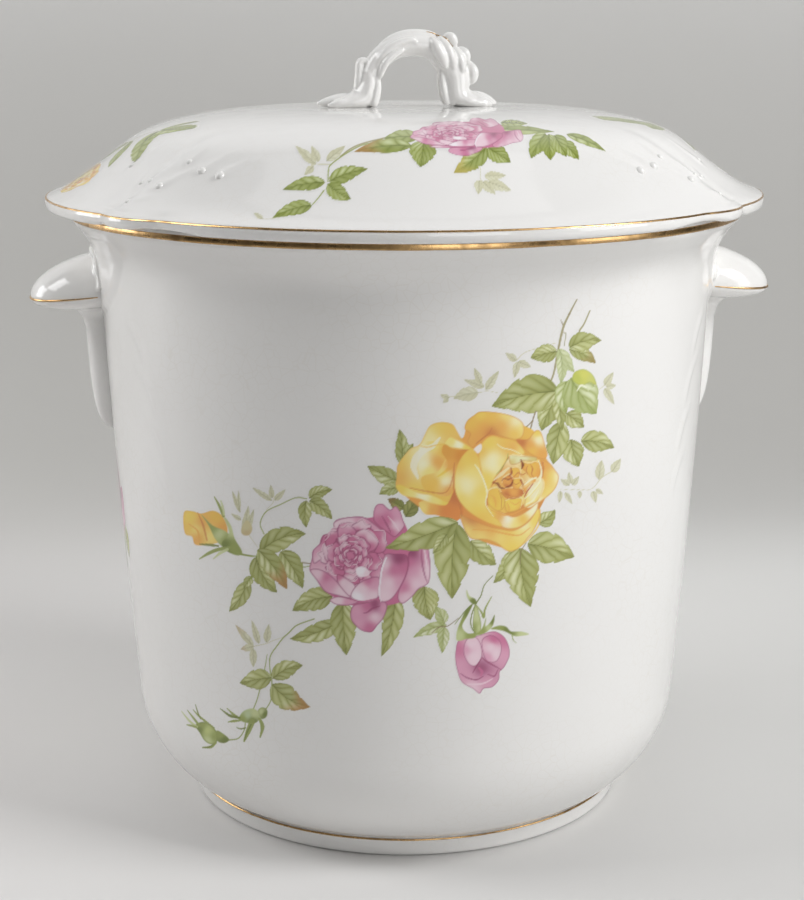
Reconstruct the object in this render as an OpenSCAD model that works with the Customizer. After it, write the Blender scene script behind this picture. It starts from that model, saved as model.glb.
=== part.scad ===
// Covered slop jar of white glazed earthenware: a tapered jar with two ear handles,
// a domed lid with a leaf loop handle, and three fired gilt lines.

/* [Jar] */
// Height of the jar, to the flat top of its rim
jar_h = 259; // [245:1:280]
// Width of the rim
rim_d = 284; // [279:1:292]
// Outside width of the wall just under the flared rim
neck_d = 260.6; // [254:0.2:266]
// Outside width of the wall where the bottom begins to curve in
base_d = 238; // [226:1:244]
// How far the wall swells out of a straight taper
wall_swell = 0.9; // [0:0.1:2]
// Thickness of the wall
wall_t = 7; // [5:0.5:9]
// Radius of the curve from the wall into the foot
bottom_r = 50; // [44:1:54]
// Height from the neck to the top of the rim
flare_h = 23; // [21:1:27]
// Radius of the hollow under the flared rim
flare_r = 16; // [11:1:18]
// Height of the rim's outer edge
rim_edge_h = 4.4; // [3.6:0.2:6]
// Height of the bevel on the rim's upper outer corner
rim_bevel = 1.2; // [0.4:0.2:2]
// Width of the rim's top, from its edge to the mouth
rim_w = 6; // [5:0.5:8]

/* [Foot] */
// Width of the foot where it stands
foot_d = 189.4; // [180:0.2:196]
// Height of the foot
foot_h = 8.2; // [6:0.2:11]
// How much wider the foot is at its top
foot_flare = 2.6; // [1:0.2:4]
// Width of the ring that the jar stands on
foot_w = 9; // [6:0.5:14]
// Depth of the hollow under the floor
foot_hollow = 5; // [3:0.5:7]
// Thickness of the floor
floor_t = 8; // [6:0.5:11]

/* [Ear handles] */
// Distance between the tips of the two ears
ear_span = 319; // [308:1:328]
// Width of an ear at the wall
ear_w = 50; // [38:1:58]
// Distance from the rim's top down to the ear's sharp edge, at the wall
ear_down = 35.5; // [35:0.5:54]
// Drop of the edge from the wall to the tip
ear_drop = 3.3; // [0:0.1:6]
// Height of the ear's crest over its edge, at the wall
ear_crest = 16.5; // [12:0.1:17]
// How full the ear's crest is towards its tip
ear_arch = 2.2; // [1.8:0.1:4]
// Depth of the ear's rounded underside
ear_belly = 5.5; // [4:0.1:8]
// Length of the tail that runs down the wall under the ear
tail_l = 56; // [40:1:70]
// Width of the tail
tail_w = 19; // [14:0.5:26]
// How far the tail stands out of the wall
tail_t = 8; // [5:0.5:10]

/* [Lid] */
// Width of the lid across its lobes
lid_d = 303; // [294:1:312]
// Height of the lid from its seat to its crown
lid_h = 39.3; // [36:0.1:46]
// Thickness of the lid
lid_t = 6.5; // [5:0.5:8]
// Height of the lip at the lid's edge
lip_h = 4.3; // [3.6:0.1:6]
// Gap under the lip outside the seat
lip_gap = 0.6; // [0.2:0.1:1]
// How far the flat seat reaches in from the edge of the jar's rim
seat_w = 11; // [8:0.5:12]
// Width of the overhang outside the seat
lip_w = 6; // [4:0.5:7]
// Width of the flat on the crown
crown_d = 88; // [84:1:100]
// Width of the lid at its shoulder
shoulder_d = 232; // [218:1:236]
// Drop from the crown to the shoulder
shoulder_drop = 12.4; // [9:0.1:15]
// Slope of the lid at its shoulder
shoulder_slope = 36; // [30:1:40]
// Slope of the lid at its edge
edge_slope = 20; // [12:1:26]
// Depth of the flange inside the jar's mouth
flange_h = 12; // [8:0.5:16]
// Thickness of the flange
flange_t = 5.5; // [4:0.5:7]
// Clearance between the flange and the jar's neck
flange_gap = 1.5; // [0.8:0.1:3]

/* [Loop handle] */
// Height of the loop over the crown
loop_h = 32.2; // [28:0.2:38]
// Length of the loop over its two leaf feet
loop_l = 75; // [66:1:82]
// Width of the loop at the top of its arch
loop_w = 13.6; // [10:0.2:18]
// Depth of the flutes along the leaf, as a share of its thickness
flute = 0.07; // [0:0.01:0.1]

/* [Lobes] */
// Angle from the handles to the cusp of the end lobe
cusp_1 = 33; // [28:1:36]
// Angle from the handles to the cusp of the side lobe
cusp_2 = 46; // [43:1:50]
// Depth of the cusps
cusp_depth = 2.6; // [1:0.1:3]

/* [Gilding] */
// Thickness of a gilt line
gilt_t = 0.4; // [0.2:0.1:0.6]
// Height of the band round the jar's rim
rim_gilt_h = 2.6; // [1.5:0.1:3]
// Width of the line round the lid's edge
lid_gilt_w = 1.2; // [0.8:0.1:2]
// Height of the line round the foot
foot_gilt_h = 1.3; // [0.8:0.1:2]

/* [Hidden] */
glaze = "#eeece8";
gilt = "#b98a3c";
$fn = 96;
arc_steps = 12;
curve_steps = 14;
// Spare material that an outline trims off, and how far a cutter runs past what it cuts.
trim = 1;
past = 10;
// How far the bottom curve starts below its own radius.
curve_sink = 2;
// Reach of the curves' handles: along the crown, back from the shoulder, on from it, and back from the lip.
crown_ease = 0.4;
shoulder_ease = 1.27;
skirt_ease = 0.305;
lip_ease = 0.2;
// Share of its width that a tail loses towards its end, and how round the ear's hood is.
taper_share = 0.35;
hood_round = 0.55;
// The last ring of a tongue stops just short of a point.
end_share = 0.985;
// Turn of the hollow under the rim, from the upright wall to the straight flare.
flare_turn = 45;

rim_r = rim_d / 2;
neck_r = neck_d / 2;
base_r = base_d / 2;
foot_r = foot_d / 2;
foot_top_r = foot_r + foot_flare / 2;
lid_r = lid_d / 2;
neck_z = jar_h - flare_h;
ear_edge_z = jar_h - ear_down;
floor_z = foot_hollow + floor_t;
crown_z = jar_h + lid_h;

// The bottom curve is tangent to the wall, so its centre follows from the wall's taper.
base_z = bottom_r - curve_sink;
taper = atan((neck_r - base_r) / (neck_z - base_z));
bottom_c = [base_r - bottom_r * cos(taper), base_z + bottom_r * sin(taper)];
flare_c = [neck_r + flare_r, neck_z];

function arc(c, r, from, to) =
    [for (i = [0 : arc_steps]) c + r * [cos(from + (to - from) * i / arc_steps),
                                        sin(from + (to - from) * i / arc_steps)]];
function wall_at(z) =
    let (u = (z - base_z) / (neck_z - base_z))
    base_r + (neck_r - base_r) * u + wall_swell * 4 * u * (1 - u);
function wall(inset) =
    [for (i = [1 : arc_steps - 1])
        let (z = base_z + (neck_z - base_z) * i / arc_steps) [wall_at(z) - inset, z]];
function reversed(list) = [for (i = [len(list) - 1 : -1 : 0]) list[i]];
function bezier(p, t) =
    pow(1 - t, 3) * p[0] + 3 * t * pow(1 - t, 2) * p[1] + 3 * t * t * (1 - t) * p[2] + t * t * t * p[3];
function bezier_slope(p, t) =
    pow(1 - t, 2) * (p[1] - p[0]) + 2 * t * (1 - t) * (p[2] - p[1]) + t * t * (p[3] - p[2]);
function catmull(a, b, c, d, t) =
    0.5 * (2 * b + (c - a) * t + (2 * a - 5 * b + 4 * c - d) * t * t + (3 * b - a - 3 * c + d) * t * t * t);

// Outside of the jar from the foot's top to the rim's edge, and its inside from the floor to the mouth.
bottom_end = asin((foot_h - bottom_c[1]) / bottom_r);
floor_end = asin((floor_z - bottom_c[1]) / (bottom_r - wall_t));
jar_outside = concat(
    reversed(arc(bottom_c, bottom_r, -taper, bottom_end)),
    wall(0),
    arc(flare_c, flare_r, 180, 180 - flare_turn),
    [[rim_r, jar_h - rim_edge_h]]);
jar_inside = concat(
    reversed(arc(bottom_c, bottom_r - wall_t, -taper, floor_end)),
    wall(wall_t),
    arc(flare_c, flare_r + wall_t, 180, 180 - flare_turn));

// Outline of the lid: two wide arcs and, over each handle, one end lobe and two side lobes.
// An arc of radius k from a centre at r - k stands r from the middle on its own line, and falls to
// r - cusp_depth at the angle a from it.
function lobe_k(r, a) =
    let (s = r - cusp_depth)
    (r * r - 2 * r * s * cos(a) + s * s) / (2 * (r - s * cos(a)));
module lobe(r, k, angle, grow) rotate(angle) translate([r - k, 0]) circle(r = k + grow);
module outline(r, grow = 0) {
    end_k = lobe_k(r, cusp_1);
    side_k = lobe_k(r, (cusp_2 - cusp_1) / 2);
    arc_k = lobe_k(r, 90 - cusp_2);
    for (side = [0, 180]) {
        lobe(r, end_k, side, grow);
        lobe(r, arc_k, side + 90, grow);
        for (m = [-1, 1]) lobe(r, side_k, side + m * (cusp_1 + cusp_2) / 2, grow);
    }
}
module outline_ring(r, depth) {
    difference() {
        outline(r, trim);
        outline(r, -depth);
    }
}

module jar_blank() {
    rotate_extrude() polygon(concat(
        [[foot_r - foot_w, 0], [foot_r, 0], [foot_top_r, foot_h]],
        jar_outside,
        [[rim_r, jar_h - rim_bevel], [rim_r - rim_bevel, jar_h], [rim_r - rim_w, jar_h]],
        reversed(jar_inside),
        [[0, floor_z], [0, foot_hollow], [foot_r - foot_w, foot_hollow]]));
}
module jar_core() {
    rotate_extrude($fn = 4 * $fn) polygon(concat([[0, foot_h]], jar_outside, [[0, jar_h - rim_edge_h]]));
}
// A ring that cuts a gilt line out of a round surface of radius r.
module gilt_ring(r, z, h) {
    translate([0, 0, z]) difference() {
        cylinder(r = r + trim, h = h);
        translate([0, 0, -past]) cylinder(r = r - gilt_t, h = h + 2 * past);
    }
}
module rim_gilt_cutter() gilt_ring(rim_r, jar_h - rim_bevel - rim_gilt_h, rim_gilt_h);
module foot_gilt_cutter() gilt_ring(foot_top_r, foot_h - foot_gilt_h, foot_gilt_h);
module jar_body() color(glaze) difference() {
    jar_blank();
    rim_gilt_cutter();
    foot_gilt_cutter();
}
module rim_gilt_band() color(gilt) intersection() {
    jar_blank();
    rim_gilt_cutter();
}
module foot_gilt_line() color(gilt) intersection() {
    jar_blank();
    foot_gilt_cutter();
}

// A skin over rings of points, closed by a flat face at each end.
module skin(rings) {
    sides = len(rings[0]);
    last = (len(rings) - 1) * sides;
    polyhedron(
        points = [for (ring = rings) each ring],
        faces = concat(
            [[for (j = [0 : sides - 1]) sides - 1 - j]],
            [for (i = [0 : len(rings) - 2], j = [0 : sides - 1])
                [i * sides + j, i * sides + (j + 1) % sides, (i + 1) * sides + j]],
            [for (i = [0 : len(rings) - 2], j = [0 : sides - 1])
                [i * sides + (j + 1) % sides, (i + 1) * sides + (j + 1) % sides, (i + 1) * sides + j]],
            [[for (j = [0 : sides - 1]) last + j]]));
}

// An ear is a hood over a shallow belly, which meet in a sharp edge, and a tail runs down the wall from it.
// It is built of level rings from the tail's end up to the crest. A ring is a rounded tongue that reaches
// out of the wall by out and is 2 * half wide at its root, and the ear's own rings droop towards the tip.
ear_root = neck_r - wall_t;
ear_l = ear_span / 2 - ear_root;
ear_sides = 18;
tail_sink = wall_t / 3;
tail_steps = 10;
ear_steps = 8;
function tongue(root, half, out, z, drop) =
    [for (j = [0 : ear_sides])
        let (a = 180 * j / ear_sides - 90, reach = out * pow(cos(a), 2 / 3))
        [root + reach, half * sin(a), z - drop * reach / ear_l]];
function tail_ring(u) =
    let (z = ear_edge_z - ear_belly - tail_l * u, round = sqrt(1 - pow(u, 6)))
    tongue(wall_at(z) - tail_sink, tail_w / 2 * (1 - taper_share * u) * round,
           tail_sink + tail_t * round, z, 0);
function belly_ring(u) =
    let (tail_out = wall_at(ear_edge_z - ear_belly) + tail_t - ear_root, round = sqrt(1 - u * u))
    tongue(ear_root, tail_w / 2 + (ear_w - tail_w) / 2 * round, tail_out + (ear_l - tail_out) * round,
           ear_edge_z - ear_belly * u, ear_drop);
function hood_ring(u) =
    tongue(ear_root, ear_w / 2 * sqrt(1 - u * u), ear_l * pow(1 - pow(u, ear_arch), hood_round),
           ear_edge_z + ear_crest * u, ear_drop);
module ear() {
    difference() {
        skin(concat(
            [for (i = [tail_steps : -1 : 1]) tail_ring(end_share * sin(90 * i / tail_steps))],
            [for (i = [ear_steps : -1 : 1]) belly_ring(end_share * sin(90 * i / ear_steps))],
            [for (i = [0 : ear_steps]) hood_ring(end_share * sin(90 * i / ear_steps))]));
        jar_core();
    }
}
module right_handle() color(glaze) ear();
module left_handle() color(glaze) mirror([1, 0, 0]) ear();

// The lid's outside falls from the flat crown to the shoulder, then in a hollow curve to its straight lip.
shoulder = [shoulder_d / 2, crown_z - shoulder_drop];
shoulder_dir = [cos(shoulder_slope), -sin(shoulder_slope)];
edge = [lid_r - lip_w, jar_h + lip_h + lip_w * tan(edge_slope)];
edge_dir = [cos(edge_slope), -sin(edge_slope)];
crown_curve = [[crown_d / 2, crown_z],
               [crown_d / 2 + (shoulder[0] - crown_d / 2) * crown_ease, crown_z],
               shoulder - shoulder_dir * shoulder_drop * shoulder_ease,
               shoulder];
skirt_curve = [shoulder,
               shoulder + shoulder_dir * lid_h * skirt_ease,
               edge - edge_dir * lid_h * lip_ease,
               edge];
function under(p, t) =
    let (d = bezier_slope(p, t), n = [d[1], -d[0]] / norm(d))
    bezier(p, t) + n * lid_t;
crown_outside = [for (i = [0 : curve_steps]) bezier(crown_curve, i / curve_steps)];
skirt_outside = [for (i = [1 : curve_steps]) bezier(skirt_curve, i / curve_steps)];
crown_inside = [for (i = [0 : curve_steps]) under(crown_curve, i / curve_steps)];
flange_r = neck_r - wall_t - flange_gap;
crown_foot = crown_inside[curve_steps];
function under_skirt(r) = crown_foot[1] - (r - crown_foot[0]) * tan(shoulder_slope);
module lid_blank() {
    intersection() {
        rotate_extrude() polygon(concat(
            [[0, crown_z]],
            crown_outside,
            skirt_outside,
            [[lid_r + trim, jar_h + lip_h - trim * tan(edge_slope)],
             [lid_r + trim, jar_h + lip_gap],
             [lid_r - trim, jar_h + lip_gap],
             [lid_r - lip_w, jar_h],
             [rim_r - seat_w, jar_h],
             [flange_r, under_skirt(flange_r)],
             [flange_r, jar_h - flange_h],
             [flange_r - flange_t, jar_h - flange_h],
             [flange_r - flange_t, under_skirt(flange_r - flange_t)]],
            reversed(crown_inside),
            [[0, crown_z - lid_t]]));
        translate([0, 0, jar_h - flange_h - past]) linear_extrude(lid_h + flange_h + 2 * past) outline(lid_r);
    }
}
module lid_gilt_cutter() {
    translate([0, 0, jar_h + lip_h - gilt_t]) linear_extrude(past) outline_ring(lid_r, lid_gilt_w);
}
module lid() color(glaze) difference() {
    lid_blank();
    lid_gilt_cutter();
}
module lid_gilt_line() color(gilt) intersection() {
    lid_blank();
    lid_gilt_cutter();
}

// Loop handle, from the left leaf foot over the arch to the right one. Each station gives its place along
// and over the crown, the direction of the loop there, half its thickness and half its width, as drawn
// for a loop 75 long, 32.2 high and 13.6 wide.
drawn = [75, 32.2, 13.6];
loop_stations = [
    [-35.2, 0.6, 0, 0.9, 2.2], [-32.5, 1.2, 0, 2.2, 6], [-28, 2.2, 5, 2.8, 8.2],
    [-22.5, 2.3, 25, 4.4, 8.8], [-17.2, 4.2, 55, 7, 8.6], [-15.4, 9.4, 85, 6.2, 7.8],
    [-14, 15.2, 76, 6.4, 7.2], [-10.6, 20.6, 52, 5.9, 7], [-4.5, 24.7, 24, 5.6, 6.8],
    [3.5, 26.4, 3, 5.8, 6.8], [11, 25.4, -18, 6.1, 7], [17, 21.4, -48, 7, 7.4],
    [20.6, 16, -68, 7.9, 7.8], [22.2, 10.6, -82, 7.9, 8.2], [22.6, 4.8, -62, 7, 8.6],
    [28, 2.6, -25, 4.2, 9], [33, 2.2, -6, 2.8, 8.2], [37.2, 1.2, -3, 2, 6],
    [39.4, 0.6, 0, 0.8, 2.2]];
loop_sides = 20;
loop_steps = 3;
loop_scale = [loop_l / drawn[0], loop_h / drawn[1], loop_w / drawn[2]];
last_station = len(loop_stations) - 1;
function station(i) = loop_stations[min(max(i, 0), last_station)];
function loop_ring(p) =
    [for (j = [0 : loop_sides - 1])
        let (a = 360 * j / loop_sides,
             leaf = 1 + flute * cos(5 * a),
             rise = p[3] * leaf * cos(a))
        [(p[0] - rise * sin(p[2])) * loop_scale[0],
         -p[4] * leaf * sin(a) * loop_scale[2],
         crown_z + (p[1] + rise * cos(p[2])) * loop_scale[1]]];
module lid_handle() color(glaze) difference() {
    skin([for (i = [0 : last_station - 1], k = [0 : i == last_station - 1 ? loop_steps : loop_steps - 1])
        loop_ring(catmull(station(i - 1), station(i), station(i + 1), station(i + 2), k / loop_steps))]);
    translate([-loop_l, -loop_l, crown_z - loop_h]) cube([2 * loop_l, 2 * loop_l, loop_h]);
}

jar_body();
left_handle();
right_handle();
rim_gilt_band();
foot_gilt_line();
lid();
lid_handle();
lid_gilt_line();
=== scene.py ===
# %% [markdown]
# # A covered slop jar in white glazed earthenware
# The jar, its two ear handles, the domed lid and the leaf loop on the lid were cast in clay,
# stuck together with slip, glazed white, printed with rose sprays and edged with gold. The packed
# part gives every size and place, so this script loads it first and builds the looks round it.
# Lengths are in millimetres in the code and turn into metres when a mesh is made.

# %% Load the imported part
import math
import bpy
import numpy as np
from mathutils import Matrix, Vector


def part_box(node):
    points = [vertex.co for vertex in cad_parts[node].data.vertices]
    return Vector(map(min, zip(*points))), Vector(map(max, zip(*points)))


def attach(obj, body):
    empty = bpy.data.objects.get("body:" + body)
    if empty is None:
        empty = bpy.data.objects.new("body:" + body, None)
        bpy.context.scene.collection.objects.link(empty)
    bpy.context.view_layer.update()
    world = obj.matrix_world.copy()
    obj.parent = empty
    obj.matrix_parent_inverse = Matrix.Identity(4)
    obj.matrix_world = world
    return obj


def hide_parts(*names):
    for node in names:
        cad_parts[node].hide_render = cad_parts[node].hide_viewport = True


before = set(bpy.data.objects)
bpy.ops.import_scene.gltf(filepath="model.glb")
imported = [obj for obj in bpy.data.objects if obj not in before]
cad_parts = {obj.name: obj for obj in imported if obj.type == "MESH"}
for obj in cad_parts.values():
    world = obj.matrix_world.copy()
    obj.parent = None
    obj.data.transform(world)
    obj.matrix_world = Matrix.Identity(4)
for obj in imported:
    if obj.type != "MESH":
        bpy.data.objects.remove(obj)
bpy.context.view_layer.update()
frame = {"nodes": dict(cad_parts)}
MM = 0.001


def node_box(node):
    low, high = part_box(node)
    return np.array(low) / MM, np.array(high) / MM


print("nodes", sorted(frame["nodes"]))

# %% [markdown]
# ## The camera
# The photograph was taken from a little above the rim with the left ear turned slightly nearer.
# The place and lens come from fitting the foot, rim and lid circles, so the same numbers also
# tell where a point of the jar falls in an 804 by 900 picture.

# %% Camera
PHOTO_W = 804
PHOTO_H = 900
LENS = 76.6
SENSOR = 36.0
CAMERA_TURN = math.radians(-6.1)
CAMERA_DOWN = math.radians(13.19)
CAMERA_FAR = 821.9
CAMERA_ASIDE = -1.48
CAMERA_HIGH = 341.7
CAMERA_ROLL = math.radians(0.12)
camera_back = np.array([math.sin(CAMERA_TURN), -math.cos(CAMERA_TURN), 0])
level_right = np.array([math.cos(CAMERA_TURN), math.sin(CAMERA_TURN), 0])
camera_place = CAMERA_FAR * camera_back + CAMERA_ASIDE * level_right + [0, 0, CAMERA_HIGH]
camera_ahead = -camera_back * math.cos(CAMERA_DOWN) - [0, 0, math.sin(CAMERA_DOWN)]
level_up = np.cross(level_right, camera_ahead)
camera_right = level_right * math.cos(CAMERA_ROLL) - level_up * math.sin(CAMERA_ROLL)
camera_up = level_up * math.cos(CAMERA_ROLL) + level_right * math.sin(CAMERA_ROLL)

camera_data = bpy.data.cameras.new("camera")
camera_data.lens = LENS
camera_data.sensor_width = SENSOR
camera = bpy.data.objects.new("camera", camera_data)
camera.location = Vector(camera_place) * MM
camera.rotation_euler = Matrix(np.stack([camera_right, camera_up, -camera_ahead], 1).tolist()).to_euler()
bpy.context.scene.collection.objects.link(camera)
bpy.context.scene.camera = camera
bpy.context.scene.view_settings.view_transform = "Standard"


def in_photo(points):
    """Where points, in millimetres, fall in the picture, in pixels."""
    away = np.asarray(points, float) - camera_place
    depth = away @ camera_ahead
    focal = LENS / SENSOR * PHOTO_H
    across = PHOTO_W / 2 + focal * (away @ camera_right) / depth
    down = PHOTO_H / 2 - focal * (away @ camera_up) / depth
    return np.stack([across, down], -1)


print("the middle of the foot falls at", in_photo([0, 0, 0]).round(1))

# %% [markdown]
# ## Small helpers
# One function turns a written sRGB colour to the linear values that shaders use, one adds a
# node with its settings and links, and one turns points and faces into a smooth-shaded piece.


# %% Colours and nodes
def shade(hex_colour):
    """The three parts of a written colour, from 0 to 1."""
    return np.array([int(hex_colour[i:i + 2], 16) / 255 for i in (1, 3, 5)])


def to_linear(parts):
    return np.where(parts <= 0.04045, parts / 12.92, ((parts + 0.055) / 1.055) ** 2.4)


def linear(hex_colour):
    return [*to_linear(shade(hex_colour)), 1]


def add_node(tree, kind, settings=None, inputs=None):
    """Adds a node. An input is a plain value or an output socket to link from."""
    node = tree.nodes.new(kind)
    for name, value in (settings or {}).items():
        setattr(node, name, value)
    for key, value in (inputs or {}).items():
        if isinstance(value, bpy.types.NodeSocket):
            tree.links.new(value, node.inputs[key])
        else:
            node.inputs[key].default_value = value
    return node


print("red", linear("#ff0000"))


# %% Pieces and curves
def linked(name, mesh):
    mesh.name = name
    piece = bpy.data.objects.new(name, mesh)
    bpy.context.scene.collection.objects.link(piece)
    return piece


def mesh_object(name, points, faces, material):
    """A smooth-shaded mesh from points in millimetres."""
    mesh = bpy.data.meshes.new(name)
    mesh.from_pydata((np.asarray(points) * MM).tolist(), [], [list(f) for f in faces])
    mesh.validate()
    mesh.polygons.foreach_set("use_smooth", [True] * len(mesh.polygons))
    mesh.materials.append(material)
    return linked(name, mesh)


def place(piece, body, finish, *nodes):
    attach(piece, body)
    if nodes:
        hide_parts(*nodes)
    triangles = sum(len(p.vertices) - 2 for p in piece.data.polygons)
    print(piece.name, triangles, "triangles on", body)


def smoothstep(low, high, value):
    t = np.clip((value - low) / (high - low), 0, 1)
    return t * t * (3 - 2 * t)


def flow(points, steps):
    """A smooth run through the points, with a few steps between each two."""
    p = np.asarray(points, float)
    p = np.concatenate([[2 * p[0] - p[1]], p, [2 * p[-1] - p[-2]]])
    t = np.linspace(0, 1, steps, endpoint=False)[:, None]
    run = []
    for a, b, c, d in zip(p, p[1:], p[2:], p[3:]):
        run.append(0.5 * (2 * b + (c - a) * t + (2 * a - 5 * b + 4 * c - d) * t ** 2
                          + (3 * b - a - 3 * c + d) * t ** 3))
    return np.concatenate(run + [p[-2:-1]])


print("a run through 3 points in 4 steps has", len(flow([(0, 0), (1, 1), (2, 0)], 4)), "points")

# %% [markdown]
# ## Glaze and gold
# The body is a white lead-type glaze over earthenware: glassy, a little warm, and crazed with
# age into cells a few millimetres wide that show as faint tan hairlines. A real hairline is finer
# than a pixel, so it is drawn wider and paler. The gold is a thin fired film, brushed on by hand and
# rubbed for years, so it has a soft sheen, pale where it is whole and brown where it is worn.

# %% Glaze
GLAZE = "#e9e8e6"
CRAZE = "#d9d3c8"
CRAZE_CELL = 4.5
CRAZE_LINE = 0.05
CLOUD_SIZE = 55.56
RIPPLE_SIZE = 25.0
RIPPLE_H = 4.0


def glaze_colour(tree):
    """The glaze's own colour: white with faint crazing and slow clouding."""
    where = add_node(tree, "ShaderNodeTexCoord").outputs["Object"]
    cloud = add_node(tree, "ShaderNodeTexNoise", inputs={
        "Vector": where, "Scale": 1 / (CLOUD_SIZE * MM), "Detail": 3.0})
    cells = add_node(tree, "ShaderNodeTexVoronoi", {"feature": "DISTANCE_TO_EDGE"},
                     {"Vector": where, "Scale": 1 / (CRAZE_CELL * MM), "Randomness": 1.0})
    hairline = add_node(tree, "ShaderNodeMapRange", inputs={
        "Value": cells.outputs["Distance"], "From Max": CRAZE_LINE, "To Min": 1.0, "To Max": 0.0})
    spread = add_node(tree, "ShaderNodeMapRange", inputs={
        "Value": cloud.outputs["Fac"], "From Min": 0.4, "From Max": 0.7, "To Min": 0.03, "To Max": 0.25})
    amount = add_node(tree, "ShaderNodeMath", {"operation": "MULTIPLY"}, {
        0: hairline.outputs["Result"], 1: spread.outputs["Result"]})
    return add_node(tree, "ShaderNodeMix", {"data_type": "RGBA"}, {
        "Factor": amount.outputs[0], 6: linear(GLAZE), 7: linear(CRAZE)}).outputs[2]


def glaze_material(name):
    material = bpy.data.materials.new(name)
    material.use_nodes = True
    tree = material.node_tree
    shader = tree.nodes["Principled BSDF"]
    shader.inputs["Roughness"].default_value = 0.07
    shader.inputs["IOR"].default_value = 1.52
    where = add_node(tree, "ShaderNodeTexCoord").outputs["Object"]
    ripple = add_node(tree, "ShaderNodeTexNoise", inputs={
        "Vector": where, "Scale": 1 / (RIPPLE_SIZE * MM), "Detail": 2.0})
    bump = add_node(tree, "ShaderNodeBump", inputs={
        "Strength": 0.05, "Distance": RIPPLE_H * MM, "Height": ripple.outputs["Fac"]})
    tree.links.new(bump.outputs["Normal"], shader.inputs["Normal"])
    return material, tree, shader


white_glaze, tree, shader = glaze_material("white_lead_glaze")
tree.links.new(glaze_colour(tree), shader.inputs["Base Color"])
print("glaze", len(tree.nodes), "nodes")

# %% Gold
GOLD = "#cba673"
GOLD_WORN = "#92754e"
WEAR_SIZE = 6.25
bright_gold = bpy.data.materials.new("fired_bright_gold")
bright_gold.use_nodes = True
tree = bright_gold.node_tree
shader = tree.nodes["Principled BSDF"]
shader.inputs["Metallic"].default_value = 1.0
where = add_node(tree, "ShaderNodeTexCoord").outputs["Object"]
wear = add_node(tree, "ShaderNodeTexNoise", inputs={
    "Vector": where, "Scale": 1 / (WEAR_SIZE * MM), "Detail": 4.0})
worn = add_node(tree, "ShaderNodeMapRange", inputs={
    "Value": wear.outputs["Fac"], "From Min": 0.5, "From Max": 0.72})
tint = add_node(tree, "ShaderNodeMix", {"data_type": "RGBA"}, {
    "Factor": worn.outputs["Result"], 6: linear(GOLD), 7: linear(GOLD_WORN)})
rough = add_node(tree, "ShaderNodeMapRange", inputs={
    "Value": wear.outputs["Fac"], "From Min": 0.3, "From Max": 0.7, "To Min": 0.2, "To Max": 0.36})
tree.links.new(tint.outputs[2], shader.inputs["Base Color"])
tree.links.new(rough.outputs["Result"], shader.inputs["Roughness"])
print("gold", len(tree.nodes), "nodes")

# %% [markdown]
# ## The lobed outline
# The lid is not round: over each ear its edge has one end lobe between two small side lobes,
# and a wide arc front and back. Each lobe is part of a circle, and glaze softens the cusps, so
# the outline is a soft maximum of six circles.

# %% Lobed outline
jar_high = node_box("jar_body")[1]
lid_low, lid_high = node_box("lid")
RIM_R = jar_high[0]
JAR_H = jar_high[2]
LID_R = lid_high[0]
CROWN_Z = lid_high[2]
CUSP_1 = math.radians(33)
CUSP_2 = math.radians(46)
CUSP_DEPTH = 2.6
CUSP_SOFT = 0.3


def off_ear(angle):
    """How far an angle lies from the nearer ear, the same on all four quarters."""
    turned_off = np.abs(np.arctan2(np.sin(angle), np.cos(angle)))
    return np.minimum(turned_off, math.pi - turned_off)


def lobed(angle, r, soft=CUSP_SOFT):
    """Radius of the lobed outline at an angle from +X."""
    near = r - CUSP_DEPTH
    lobes = [(0, CUSP_1), (math.pi / 2, math.pi / 2 - CUSP_2),
             ((CUSP_1 + CUSP_2) / 2, (CUSP_2 - CUSP_1) / 2)]
    mirrored = off_ear(angle)
    reach = []
    for middle, half in lobes:
        k = (r * r - 2 * r * near * math.cos(half) + near * near) / (2 * (r - near * math.cos(half)))
        turn = mirrored - middle
        reach.append((r - k) * np.cos(turn) + np.sqrt(np.maximum(0, k * k - ((r - k) * np.sin(turn)) ** 2)))
    reach = np.array(reach)
    top = reach.max(0)
    return top + soft * np.log(np.exp((reach - top) / soft).sum(0))


print("rim", RIM_R, JAR_H, "lid", LID_R, "cusp", lobed(np.array([CUSP_1]), LID_R).round(2))

# %% [markdown]
# ## The jar's shell
# A jar like this is cast, so it is a profile turned about an upright axis. The profile runs from
# the floor inside, up the wall, over the rim, down the outside and under the foot. It is a grid of
# rings and columns, which lets points be pushed out for the moulded collar that each ear springs
# from and for the low feather ridges beside it.

# %% Jar sizes
WALL_T = 7.0
NECK_R = 130.3
BASE_R = 119.0
NECK_Z = JAR_H - 23
BASE_Z = 48.0
BOTTOM_R = 50.0
SWELL = 0.9
FLARE_R = 16.0
FLARE_END = 135
RIM_W = 6.0
RIM_T = 4.4
RIM_LEAN = 0.4
RIM_SOFT = 1.8
FOOT_R = 94.7
FOOT_TOP_R = 96.0
FOOT_H = 8.2
FOOT_TOP_Z = FOOT_H - 0.3
FOOT_W = 9.0
FOOT_WORN_H = 0.5
FOOT_WORN_W = 2.0
FOOT_SOFT = 1.2
FOOT_HOLLOW = 5.0
FLOOR_Z = 13.0
TAPER = math.atan((NECK_R - BASE_R) / (NECK_Z - BASE_Z))
BOTTOM_C = np.array([BASE_R - BOTTOM_R * math.cos(TAPER), BASE_Z + BOTTOM_R * math.sin(TAPER)])


def wall_at(z):
    u = (z - BASE_Z) / (NECK_Z - BASE_Z)
    return BASE_R + (NECK_R - BASE_R) * u + SWELL * 4 * u * (1 - u)


print("wall radius at half height", wall_at(JAR_H / 2).round(1))


# %% Paths
def arc(centre, r, start, end, steps):
    a = np.radians(np.linspace(start, end, steps))
    return np.stack([centre[0] + r * np.cos(a), centre[1] + r * np.sin(a)], 1)


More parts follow.
